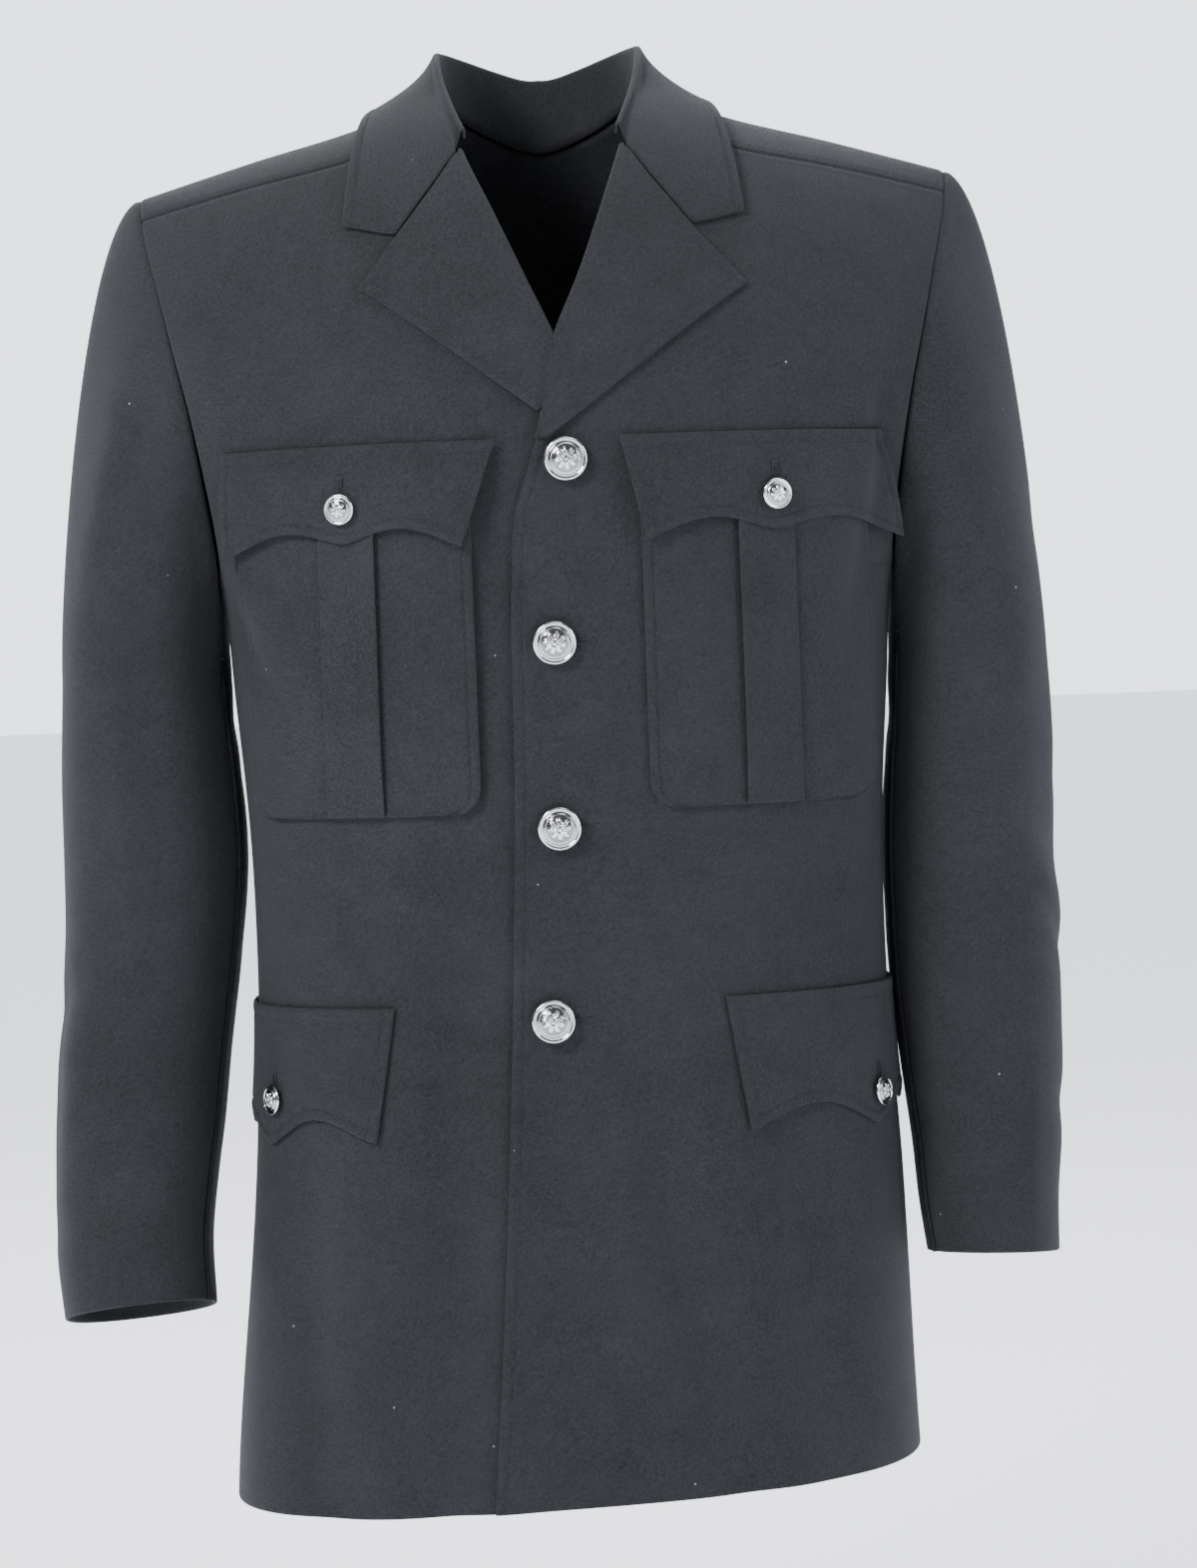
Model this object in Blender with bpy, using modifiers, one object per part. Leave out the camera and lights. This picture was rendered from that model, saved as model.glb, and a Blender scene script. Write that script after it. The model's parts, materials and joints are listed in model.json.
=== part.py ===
"""Uniform tunic in its worn form, one object for each piece that is cut and sewn on.

Metres, +Z up. The coat faces -Y, and +X is the wearer's left. The origin is at the
base of the neck, where the shoulders carry the coat. Tables are in millimetres.
"""

import math
from bisect import bisect_right
from collections import namedtuple

import bmesh
import bpy
from mathutils import Vector

MM = 0.001

# Cloth
CLOTH = 2.0 * MM
LAYER = 1.7 * MM
SEAM_GAP = 0.3 * MM
LAYER_GAP = 1.0 * MM
UNDER_GAP = 1.0 * MM
UNDER_FLAT = 8 * MM
UNDER_BLEND = 34 * MM
PLEAT_RISE = 2.0 * MM
SHARP_ANGLE = math.radians(40)
FINISHES = {
    "wool_serge": ((0.025, 0.026, 0.031, 1), 0.9, 0.0),
    "chrome": ((0.8, 0.8, 0.8, 1), 0.15, 1.0),
}

# How often a place that depends on itself is worked out again, and the step of a slope
ROUNDS = 8
PROBE = 0.3 * MM
STEEPEST = 0.999

# Levels
UNDERARM_Z = -251 * MM
HEM_Z = -753 * MM
SQUARENESS = 2.5
RISE_FRONT = 200 * MM
RISE_BACK = 180 * MM

# The swing of the skirt below the hip flaps: how far each side goes out, and how far
# the hem drops in the middle and tilts from there to each side
SWING_TOP = -562 * MM
SWING_HALF = 190 * MM
SWING_OUT = 3.5 * MM
SWING_MIDDLE = 6.5 * MM
HEM_DROP = 7 * MM
HEM_TILT = 7.5 * MM

Ring = namedtuple("Ring", "z half_width front back")
BODY = (
    Ring(60, 250, 132, 112),
    Ring(-26, 250, 132, 113),
    Ring(-85, 246, 133, 117),
    Ring(-150, 226, 134, 119),
    Ring(-200, 207, 134, 119),
    Ring(-251, 192, 133, 117),
    Ring(-317, 186, 129, 111),
    Ring(-390, 181, 123, 105),
    Ring(-464, 180, 121, 107),
    Ring(-600, 186, 126, 122),
    Ring(-753, 193, 131, 131),
)

Ridge = namedtuple("Ridge", "x z")
SHOULDER_RIDGE = (
    Ridge(0, 43),
    Ridge(20, 42.5),
    Ridge(60, 27),
    Ridge(97, 12),
    Ridge(165, -7),
    Ridge(234, -27),
)

Edge = namedtuple("Edge", "z x")
ARMHOLE = (
    Edge(-20, 230),
    Edge(-41, 227.5),
    Edge(-85, 217),
    Edge(-120, 209),
    Edge(-150, 202),
    Edge(-200, 193.5),
    Edge(-225, 190.5),
    Edge(-240, 190),
    Edge(-251, 192),
)

# Free edge of each front, from the neck seam along the lapel's break line to the hem,
# measured from the middle towards that front's own side.
FRONT_EDGE_LEFT = (
    Edge(2, 50),
    Edge(-15, 45),
    Edge(-48, 34),
    Edge(-85, 20.5),
    Edge(-129, 2),
    Edge(-160, -4),
    Edge(-192, -14),
    Edge(-219, -22.5),
    Edge(-250, -25),
    Edge(-370, -28),
    Edge(-478, -33),
    Edge(-667, -45),
    Edge(-753, -52),
)
FRONT_EDGE_RIGHT = (
    Edge(2, 50),
    Edge(-15, 45),
    Edge(-48, 31),
    Edge(-85, 15),
    Edge(-129, -4),
    Edge(-192, -21),
    Edge(-250, -23),
    Edge(-388, -20),
    Edge(-493, -12),
    Edge(-753, 4),
)

# Rows of each panel: shares of the way from hem to underarm, and on to the shoulder.
SKIRT_ROWS = (0, 0.1, 0.2, 0.29, 0.38, 0.47, 0.56, 0.65, 0.74, 0.83, 0.92, 1)
CHEST_ROWS = (0.025, 0.07, 0.14, 0.24, 0.36, 0.5, 0.64, 0.78, 0.9, 1)
FRONT_COLUMNS = 13
SHOULDER_SEAM_DROP = (Ridge(0, 28), Ridge(50, 26), Ridge(230, 15))
SIDE_TURN = 0.0012


def curve(table, key, column, key_unit=MM):
    """A smooth curve through one column of a table, in metres."""
    rows = sorted(table, key=lambda row: getattr(row, key))
    keys = [getattr(row, key) * key_unit for row in rows]
    values = [getattr(row, column) * MM for row in rows]
    steps = [(values[i + 1] - values[i]) / (keys[i + 1] - keys[i]) for i in range(len(rows) - 1)]
    slopes = [steps[0]]
    for i in range(1, len(steps)):
        before = keys[i] - keys[i - 1]
        after = keys[i + 1] - keys[i]
        slopes.append((steps[i - 1] * after + steps[i] * before) / (before + after))
    slopes.append(steps[-1])

    def read(place):
        if place <= keys[0]:
            return values[0]
        if place >= keys[-1]:
            return values[-1]
        i = bisect_right(keys, place) - 1
        span = keys[i + 1] - keys[i]
        u = (place - keys[i]) / span
        start = values[i] * (1 + 2 * u) * (1 - u) ** 2 + slopes[i] * span * u * (1 - u) ** 2
        end = values[i + 1] * u * u * (3 - 2 * u) - slopes[i + 1] * span * u * u * (1 - u)
        return start + end

    return read


half_width = curve(BODY, "z", "half_width")
front_depth = curve(BODY, "z", "front")
back_depth = curve(BODY, "z", "back")
ridge = curve(SHOULDER_RIDGE, "x", "z")
armhole_x = curve(ARMHOLE, "z", "x")
seam_drop = curve(SHOULDER_SEAM_DROP, "x", "z")
left_edge = curve(FRONT_EDGE_LEFT, "z", "x")
right_edge = curve(FRONT_EDGE_RIGHT, "z", "x")


def mix(a, b, share):
    return a + (b - a) * share


def ease(share):
    share = min(1, max(0, share))
    return share * share * (3 - 2 * share)


def oval_share(x, z):
    """What is left of the body's oval at a distance x from the middle."""
    return max(0, 1 - (abs(x) / half_width(z)) ** SQUARENESS)


def shoulder_drop(x, z, front):
    """How far a height lies down the round of the shoulder, from 0 at the ridge to 1."""
    rise = RISE_FRONT if front else RISE_BACK
    return min(1, max(0, (ridge(abs(x)) - z) / rise))


def body_point(x, z, front):
    depth = front_depth(z) if front else back_depth(z)
    drop = shoulder_drop(x, z, front)
    y = depth * oval_share(x, z) ** (1 / SQUARENESS) * math.sqrt(1 - (1 - drop) ** 2)
    return Vector((x, -y if front else y, z))


def body_level(point):
    """Zero on the body's surface, and more outside it."""
    front = point.y < 0
    depth = front_depth(point.z) if front else back_depth(point.z)
    drop = shoulder_drop(point.x, point.z, front)
    if drop >= 1:
        oval = (abs(point.x) / half_width(point.z)) ** SQUARENESS
        return oval + (abs(point.y) / depth) ** SQUARENESS - 1
    oval = oval_share(point.x, point.z) ** (2 / SQUARENESS)
    rise = RISE_FRONT if front else RISE_BACK
    height = (ridge(abs(point.x)) - point.z) / rise
    return (point.y / depth) ** 2 - oval * (1 - (1 - height) ** 2)


def body_normal(point):
    """Direction straight out of the body's surface."""
    slope = [
        body_level(point + Vector(step)) - body_level(point - Vector(step))
        for step in ((PROBE, 0, 0), (0, PROBE, 0), (0, 0, PROBE))
    ]
    return Vector(slope).normalized()


def top_point(x, y):
    """The place on the round of the shoulders that lies above a point of the plan."""
    front = y < 0
    z = ridge(abs(x))
    rise = RISE_FRONT if front else RISE_BACK
    for _ in range(ROUNDS):
        depth = front_depth(z) if front else back_depth(z)
        share = min(STEEPEST, abs(y) / (depth * oval_share(x, z) ** (1 / SQUARENESS)))
        z = ridge(abs(x)) - rise * (1 - math.sqrt(1 - share * share))
    return Vector((x, y, z))


def lift(point, height):
    """A point of the body's surface, moved straight out."""
    return point + body_normal(point) * height


def mirrored(grid):
    return [[p and Vector((-p.x, p.y, p.z)) for p in row] for row in grid]


def swung(p):
    """The skirt swings out and hangs lower on the wearer's right, as in the photo."""
    share = ease((SWING_TOP - p.z) / (SWING_TOP - HEM_Z))
    side = p.x / SWING_HALF
    out = SWING_OUT * side - SWING_MIDDLE * side * side
    return Vector((p.x + share * out, p.y, p.z - share * (HEM_DROP - HEM_TILT * side)))


def add_wall(name, outer, inner, place=swung):
    """A closed cloth wall between two grids of points. A cell that lacks a corner is open."""
    shell = bmesh.new()
    skins = []
    for grid in (outer, inner):
        skins.append([[p and shell.verts.new(place(p)) for p in row] for row in grid])
    edges = {}
    for r in range(len(outer) - 1):
        for c in range(len(outer[0]) - 1):
            corners = [(r, c), (r, c + 1), (r + 1, c + 1), (r + 1, c)]
            if any(outer[i][j] is None for i, j in corners):
                continue
            shell.faces.new([skins[0][i][j] for i, j in corners])
            shell.faces.new([skins[1][i][j] for i, j in reversed(corners)])
            for edge in zip(corners, corners[1:] + corners[:1]):
                edges[edge] = True
    for a, b in edges:
        if (b, a) not in edges:
            rim = [skins[0][b[0]][b[1]], skins[0][a[0]][a[1]], skins[1][a[0]][a[1]], skins[1][b[0]][b[1]]]
            shell.faces.new(rim)
    bmesh.ops.recalc_face_normals(shell, faces=shell.faces)
    mesh = bpy.data.meshes.new(name)
    shell.to_mesh(mesh)
    shell.free()
    mesh.shade_smooth()
    mesh.set_sharp_from_angle(angle=SHARP_ANGLE)
    return add_object(name, mesh, "wool_serge")


def add_object(name, mesh, finish):
    obj = bpy.data.objects.new(name, mesh)
    bpy.data.collections["police_uniform_tunic"].objects.link(obj)
    material = bpy.data.materials.new(name)
    material.use_nodes = True
    shader = material.node_tree.nodes["Principled BSDF"]
    colour, roughness, metallic = FINISHES[finish]
    shader.inputs["Base Color"].default_value = colour
    shader.inputs["Roughness"].default_value = roughness
    shader.inputs["Metallic"].default_value = metallic
    mesh.materials.append(material)
    return obj


def skirt_level(share):
    z = mix(HEM_Z, UNDERARM_Z, share)
    return lambda x: z


def chest_level(share):
    """Heights of a row between the underarm and the forward shoulder seam."""
    return lambda x: mix(UNDERARM_Z, ridge(abs(x)) - seam_drop(abs(x)), share)


def settle(find_x, level):
    """The place where an edge, given by height, meets a row, given by distance."""
    x = 0
    for _ in range(ROUNDS):
        x = find_x(level(x))
    return x


def front_rows():
    rows = [(skirt_level(share), False) for share in SKIRT_ROWS]
    return rows + [(chest_level(share), True) for share in CHEST_ROWS]


def turn_of(x, z):
    """Angle round the body's oval, 0 at the side and a quarter turn at the middle."""
    share = max(-1, min(1, x / half_width(z)))
    return math.acos(math.copysign(abs(share) ** (SQUARENESS / 2), share))


def row_x(turn, level):
    """Distance from the middle at an angle along a row."""
    x = 0
    for _ in range(ROUNDS):
        reach = abs(math.cos(turn)) ** (2 / SQUARENESS)
        x = math.copysign(half_width(level(x)) * reach, math.cos(turn))
    return x


def front_grid(free_edge):
    """Outer points of a front on the wearer's left, from its free edge to its side."""
    grid = []
    for level, above in front_rows():
        inner_x = settle(free_edge, level)
        start = turn_of(inner_x, level(inner_x))
        end = SIDE_TURN
        if above:
            outer_x = settle(armhole_x, level)
            end = turn_of(outer_x, level(outer_x))
        row = []
        for column in range(FRONT_COLUMNS):
            x = row_x(mix(start, end, column / (FRONT_COLUMNS - 1)), level)
            row.append(body_point(x, level(x), True))
        grid.append(row)
    return grid


def add_fronts():
    outer = front_grid(left_edge)
    inner = [[lift(p, -CLOTH) for p in row] for row in outer]
    add_wall("front_left", outer, inner)
    nominal = front_grid(right_edge)

    def tuck(p):
        """How far the under front lies inside the other one, where the two overlap."""
        past = p.x + left_edge(p.z)
        return mix(CLOTH + UNDER_GAP, 0, ease((past - UNDER_FLAT) / UNDER_BLEND))

    outer = [[lift(p, -tuck(p)) for p in row] for row in nominal]
    inner = [[lift(p, -tuck(p) - CLOTH) for p in row] for row in nominal]
    add_wall("front_right", mirrored(outer), mirrored(inner))


NECK_HALF = 60 * MM
NECK_BACK = 72 * MM
NECK_FRONT = 120 * MM
NECK_TURNS = (0, 15, 30, 45, 60, 75, 90)
STRIP_COLUMNS = 5
OVER_ROWS = 5
TOP_BLEND = 1.6


def neck_plan(turn):
    """The neck seam in plan, from the middle back at 0 round the wearer's left side."""
    reach = NECK_BACK if turn <= 90 else NECK_FRONT
    angle = math.radians(turn)
    return NECK_HALF * math.sin(angle), reach * math.cos(angle)


def neck_seam(turn):
    return top_point(*neck_plan(turn))


def back_half():
    """Outer points of the back's left half, each row from the side or armhole to the middle."""
    neck = [neck_seam(turn) for turn in reversed(NECK_TURNS)]
    columns = STRIP_COLUMNS + len(neck) - 1
    grid = []
    for share in SKIRT_ROWS:
        level = skirt_level(share)
        row = []
        for column in range(columns + 1):
            x = row_x(mix(SIDE_TURN, math.pi / 2, column / columns), level)
            row.append(body_point(x, level(x), False))
        grid.append(row)

    def top_x(column, arm_x):
        if column <= STRIP_COLUMNS:
            return mix(arm_x, NECK_HALF, column / STRIP_COLUMNS)
        return neck[column - STRIP_COLUMNS].x

    def top_z(column, x):
        if column <= STRIP_COLUMNS:
            return ridge(x)
        return neck[column - STRIP_COLUMNS].z

    for share in CHEST_ROWS:
        arm_x = settle(armhole_x, lambda x: mix(UNDERARM_Z, ridge(abs(x)), share))
        arm_z = mix(UNDERARM_Z, ridge(arm_x), share)
        start = turn_of(arm_x, arm_z)
        row = []
        for column in range(columns + 1):
            spread = row_x(mix(start, math.pi / 2, column / columns), lambda x: arm_z)
            x = mix(spread, top_x(column, arm_x), ease(share * TOP_BLEND))
            if column == columns:
                x = 0
            z = mix(UNDERARM_Z, top_z(column, x), share)
            row.append(body_point(x, z, False))
        grid.append(row)
    for step in range(1, OVER_ROWS + 1):
        row = []
        for column in range(columns + 1):
            row.append(over_point(column, step / OVER_ROWS) if column <= STRIP_COLUMNS else None)
        grid.append(row)
    return grid


def over_point(column, share):
    """A point of the strip that runs over the shoulder to the forward seam."""
    x = NECK_HALF
    for _ in range(ROUNDS):
        drop = seam_drop(x) - SEAM_GAP
        angle = math.acos(1 - drop / RISE_FRONT) * share
        z = ridge(x) - RISE_FRONT * (1 - math.cos(angle))
        y = front_depth(z) * oval_share(x, z) ** (1 / SQUARENESS) * math.sin(angle)
        neck_x = NECK_HALF * math.sqrt(1 - (y / NECK_FRONT) ** 2)
        x = mix(armhole_x(z), neck_x, column / STRIP_COLUMNS)
    return body_point(x, z, True)


def add_back():
    half = back_half()
    grid = [row + [p and Vector((-p.x, p.y, p.z)) for p in reversed(row[:-1])] for row in half]
    inner = [[p and lift(p, -CLOTH) for p in row] for row in grid]
    add_wall("back", grid, inner)
    return half


def start_scene():
    for obj in list(bpy.data.objects):
        bpy.data.objects.remove(obj)
    collection = bpy.data.collections.new("police_uniform_tunic")
    bpy.context.scene.collection.children.link(collection)


# Sleeves. Rings below the arm: outer and inner reach from the middle of the coat, half
# the depth, place of the middle from front to back, and how far back and outside hang.
Cuffward = namedtuple("Cuffward", "z outer inner half_depth middle slope lean")
SLEEVES = {
    "left": (
        Cuffward(-300, 278, 189.5, 73, 6, 0, 0),
        Cuffward(-346, 280, 186, 70, 8, 0, 0),
        Cuffward(-400, 281.5, 182.5, 67, 10, 0, 0),
        Cuffward(-450, 281.5, 182, 64, 9, 0, 0),
        Cuffward(-500, 280.5, 184, 61, 3, 1, 0),
        Cuffward(-540, 279.5, 187.5, 59, -4, 2, 0),
        Cuffward(-581, 276.5, 191.5, 57, -12, 4, 0),
        Cuffward(-612, 273, 193.5, 55, -18, 5, 0),
        Cuffward(-643, 271.5, 197, 54, -24, 6, 1),
    ),
    "right": (
        Cuffward(-300, 285.5, 189.5, 73, 6, 0, 0),
        Cuffward(-351, 288.5, 186, 70, 8, 0, 0),
        Cuffward(-404, 290, 184.5, 67, 10, 0, 0),
        Cuffward(-458, 293, 190, 64, 9, 1, 0),
        Cuffward(-510, 296.5, 197.5, 61, 3, 2, 0),
        Cuffward(-556, 299.5, 203, 59, -4, 4, 1),
        Cuffward(-583, 300, 207, 57, -9, 6, 2),
        Cuffward(-620, 300, 211, 55, -18, 9, 3),
        Cuffward(-659, 296, 210, 54, -25, 12, 4),
    ),
}
CAP_SHARES = (0.1, 0.22, 0.36, 0.52, 0.68, 0.84)
SLEEVE_SQUARENESS = 2.2
CAP_START_PULL = 95 * MM
CAP_END_PULL = 230 * MM
CAP_TURN_TOP = math.radians(4)
CAP_TURN_UNDER = math.radians(168)
CAP_SPAN = 280 * MM
CAP_SAG = 2.4
FOLDS_START = 1
FOLDS_BLEND = 3
FRONT_SEAM = 2
BACK_SEAM = -5

# Soft folds of a sleeve: angle from the outer edge towards the front, height, reach
# along the arm and round it, depth, and how far the line leans down as it goes round.
Fold = namedtuple("Fold", "angle z long wide depth lean")
SLEEVE_FOLDS = {
    "left": (
        Fold(-50, -395, 30, 50, -4.0, 60),
        Fold(-45, -430, 26, 55, 3.0, 60),
        Fold(35, -240, 18, 40, -2.5, 20),
        Fold(80, -420, 28, 45, -3.0, -40),
    ),
    "right": (
        Fold(-75, -150, 75, 18, -4.5, 0),
        Fold(-58, -160, 80, 18, 3.0, 0),
        Fold(-60, -420, 32, 55, -3.0, 40),
        Fold(80, -410, 28, 45, -3.0, -40),
    ),
}


def armhole_loop(half, front):
    """The armhole from the underarm up the front, over the shoulder and down the back."""
    chest = front[len(SKIRT_ROWS):]
    loop = [front[len(SKIRT_ROWS) - 1][-1]]
    loop += [row[-1] for row in chest]
    rows = half[len(SKIRT_ROWS):]
    over = rows[len(CHEST_ROWS):]
    loop += [row[0] for row in reversed(over[:-1])]
    loop += [row[0] for row in reversed(rows[:len(CHEST_ROWS)])]
    return loop


def loop_angle(point, middle):
    """Angle about the arm, 0 at the outer edge or top, negative towards the front."""
    return math.atan2(point.y - middle.y, point.z - middle.z)


def fold_height(side, angle, z):
    total = 0
    for fold in SLEEVE_FOLDS[side]:
        turn = math.degrees(angle) - fold.angle
        turn = (turn + 180) % 360 - 180
        down = z / MM - fold.z + fold.lean * turn / 90
        total += fold.depth * math.exp(-((down / fold.long) ** 2) - (turn / fold.wide) ** 2)
    return total * MM


def sleeve_ring(side, angle, z):
    table = SLEEVES[side]
    outer = curve(table, "z", "outer")(z)
    inner = curve(table, "z", "inner")(z)
    depth = curve(table, "z", "half_depth")(z)
    middle = curve(table, "z", "middle")(z)
    slope = curve(table, "z", "slope")(z)
    lean = curve(table, "z", "lean")(z)
    across = math.cos(angle)
    along = math.sin(angle)
    power = 2 / SLEEVE_SQUARENESS
    side = math.copysign(abs(across) ** power, across)
    rear = math.copysign(abs(along) ** power, along)
    x = (outer + inner) / 2 + (outer - inner) / 2 * side
    return Vector((x, middle + depth * rear, z - slope * rear - lean * side))


def sleeve_grids(side, loop):
    """Outer and inner points of a sleeve on the wearer's left, rings from armhole to cuff."""
    table = SLEEVES[side]
    count = len(loop)
    middle = sum(loop, Vector()) / count
    top = max(p.z for p in loop)
    start = []
    heading = []
    facing = []
    angles = []
    for i, point in enumerate(loop):
        along = (loop[(i + 1) % count] - loop[i - 1]).normalized()
        out = body_normal(point)
        away = along.cross(out).normalized()
        share = (point.z - UNDERARM_Z) / (top - UNDERARM_Z)
        turn = mix(CAP_TURN_UNDER, CAP_TURN_TOP, 1 - (1 - share) ** 2)
        across = away * math.cos(turn) + out * math.sin(turn)
        start.append(point + away * SEAM_GAP + out * SEAM_GAP * math.sin(turn / 2))
        sag = Vector((0, 0, -CAP_SAG)) * (1 - share) * share
        heading.append((across + sag).normalized())
        facing.append(out * math.cos(turn) - away * math.sin(turn))
        angles.append(loop_angle(point, middle))
    rings = [start]
    ring_z = table[0].z * MM
    biceps = [sleeve_ring(side, angle, ring_z) for angle in angles]
    for share in CAP_SHARES:
        ring = []
        for a, d, b, angle in zip(start, heading, biceps, angles):
            reach = (b - a).length / CAP_SPAN
            first = share * (1 - share) ** 2
            last = share * share * (1 - share)
            p = a * (1 + 2 * share) * (1 - share) ** 2 + b * share * share * (3 - 2 * share)
            p = p + d * CAP_START_PULL * reach * first + Vector((0, 0, CAP_END_PULL * reach * last))
            ring.append(p)
        rings.append(ring)
    for row in table:
        rings.append([sleeve_ring(side, angle, row.z * MM) for angle in angles])
    outward = ring_normals(rings)
    outward[0] = facing
    shaped = []
    for r, ring in enumerate(rings):
        ease_in = ease((r - FOLDS_START) / FOLDS_BLEND)
        lifted = []
        for p, n, angle in zip(ring, outward[r], angles):
            lifted.append(p + n * fold_height(side, angle, p.z) * ease_in)
        shaped.append(lifted)
    inner = [[p - n * CLOTH for p, n in zip(ring, normals)] for ring, normals in zip(shaped, outward)]
    return shaped, inner


def ring_normals(rings):
    """Outward directions of a tube of rings that run front to back over the top."""
    normals = []
    count = len(rings[0])
    for r, ring in enumerate(rings):
        before = rings[max(0, r - 1)]
        after = rings[min(len(rings) - 1, r + 1)]
        row = []
        for i in range(count):
            along = ring[(i + 1) % count] - ring[i - 1]
            down = after[i] - before[i]
            row.append(down.cross(along).normalized())
        normals.append(row)
    return normals


def add_sleeve(side, loop):
    outer, inner = sleeve_grids(side, loop)
    if side == "right":
        outer, inner = mirrored(outer), mirrored(inner)
    count = len(loop)
    pieces = {
        "top": [i % count for i in range(FRONT_SEAM, count + BACK_SEAM + 1)],
        "under": [i % count for i in range(count + BACK_SEAM, count + FRONT_SEAM + 1)],
    }
    for piece, columns in pieces.items():
        grids = []
        for grid in (outer, inner):
            grids.append([cut_back([row[i] for i in columns]) for row in grid])
        add_wall("sleeve_" + side + "_" + piece, *grids, place=Vector)


def cut_back(row):
    """The same row, drawn in at both ends by half a seam gap."""
    row = list(row)
    for end, inside in ((0, 1), (-1, -2)):
        row[end] = row[end] + (row[inside] - row[end]).normalized() * SEAM_GAP / 2
    return row


# Collar: height of the fold above the neck seam, and the fall's free edge in plan.
Stand = namedtuple("Stand", "turn height")
COLLAR_STAND = (
    Stand(0, 41),
    Stand(45, 36),
    Stand(75, 27),
    Stand(90, 22),
    Stand(101, 15),
    Stand(112, 8),
    Stand(124, 4.5),
    Stand(131.4, 3.6),
)
Fall = namedtuple("Fall", "turn x y")
COLLAR_FALL = (
    Fall(0, 0, 79),
    Fall(30, 47, 71),
    Fall(60, 82, 44),
    Fall(90, 93.5, 0),
    Fall(101, 98.5, -28),
    Fall(115, 104, -60),
    Fall(131.4, 110, -91),
)
COLLAR_TURNS = NECK_TURNS + (98, 106, 115, 123, 131.4)
FALL_SHARES = (0.12, 0.35, 0.6, 0.8, 1)
NOTCH_SHARE = 0.6
FLAT_LIFT = LAYER_GAP + CLOTH / 2
BACK_LIFT = 5 * MM
FOOT_INSET = 3.4 * MM
FOLD_HALF = 2.4 * MM
COLLAR_BULGE = 8 * MM
COLLAR_SLACK = 0.7
ROLL_LIFT = 1 * MM
Span = namedtuple("Span", "turn width")
COLLAR_SETTLES = Span(108, 23)
COLLAR_LIES = Span(92, 24)
COLLAR_TO_GORGE = Span(110, 20)
PLAN_STEP = 2
GORGE_START = (45 * MM, -15 * MM)
NOTCH = (81 * MM, -62 * MM)
COLLAR_TIP = (110 * MM, -55 * MM)


def plan_mix(a, b, share):
    return tuple(mix(p, q, share) for p, q in zip(a, b))


def gorge_place(share, tip):
    """Front-view place along the gorge seam to the notch, and on to a tip."""
    if share <= NOTCH_SHARE:
        return plan_mix(GORGE_START, NOTCH, share / NOTCH_SHARE)
    return plan_mix(NOTCH, tip, (share - NOTCH_SHARE) / (1 - NOTCH_SHARE))


stand_height = curve(COLLAR_STAND, "turn", "height", 1)
fall_x = curve(COLLAR_FALL, "turn", "x", 1)
fall_y = curve(COLLAR_FALL, "turn", "y", 1)


def span_share(span, turn):
    """From 0 to 1 while the turn passes through a span."""
    return ease((turn - span.turn) / span.width)


def neck_outward(turn):
    """Level direction straight out of the neck seam."""
    if turn < PLAN_STEP:
        return Vector((0, 1, 0))
    before = Vector((*neck_plan(turn - PLAN_STEP), 0))
    after = Vector((*neck_plan(turn + PLAN_STEP), 0))
    return (after - before).normalized().cross(Vector((0, 0, -1)))


def collar_section(turn):
    """Middle of the cloth from the neck seam, up the stand, over the fold to the edge."""
    seam = neck_seam(turn)
    out = neck_outward(turn)
    up = Vector((0, 0, 1))
    height = stand_height(turn)
    foot = seam - out * FOOT_INSET
    fold = foot + up * height
    start = fold + out * FOLD_HALF
    points = [foot, foot.lerp(fold, 0.5), fold - up * FOLD_HALF / 2, start]
    edge_plan = (fall_x(turn), fall_y(turn))
    edge_lift = mix(BACK_LIFT, FLAT_LIFT, span_share(COLLAR_SETTLES, turn))
    edge = lift(top_point(*edge_plan), edge_lift)
    bulge = start + out * COLLAR_BULGE - up * height * COLLAR_SLACK
    lying = span_share(COLLAR_LIES, turn)
    gorge = span_share(COLLAR_TO_GORGE, turn)
    for share in FALL_SHARES:
        free = start.lerp(bulge, share).lerp(bulge.lerp(edge, share), share)
        straight = plan_mix((start.x, start.y), edge_plan, share)
        bent = body_point(*gorge_place(share, COLLAR_TIP), True)
        clear = mix(edge_lift, FLAT_LIFT + ROLL_LIFT, 1 - share)
        flat = lift(top_point(*plan_mix(straight, (bent.x, bent.y), gorge)), clear)
        points.append(free.lerp(flat, lying))
    return points


def grid_normals(grid):
    normals = []
    for r, row in enumerate(grid):
        line = []
        for c in range(len(row)):
            down = grid[min(r + 1, len(grid) - 1)][c] - grid[max(r - 1, 0)][c]
            along = row[min(c + 1, len(row) - 1)] - row[max(c - 1, 0)]
            line.append(down.cross(along).normalized())
        normals.append(line)
    return normals


def thickened(grid, thickness):
    normals = grid_normals(grid)
    sides = []
    for half in (thickness / 2, -thickness / 2):
        sides.append([[p + n * half for p, n in zip(*rows)] for rows in zip(grid, normals)])
    return sides


def add_collar():
    half = [collar_section(turn) for turn in COLLAR_TURNS]
    whole = list(reversed(mirrored(half)[1:])) + half
    for p in whole[len(COLLAR_TURNS) - 1]:
        p.x = 0
    add_wall("collar", *thickened(whole, CLOTH))


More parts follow.
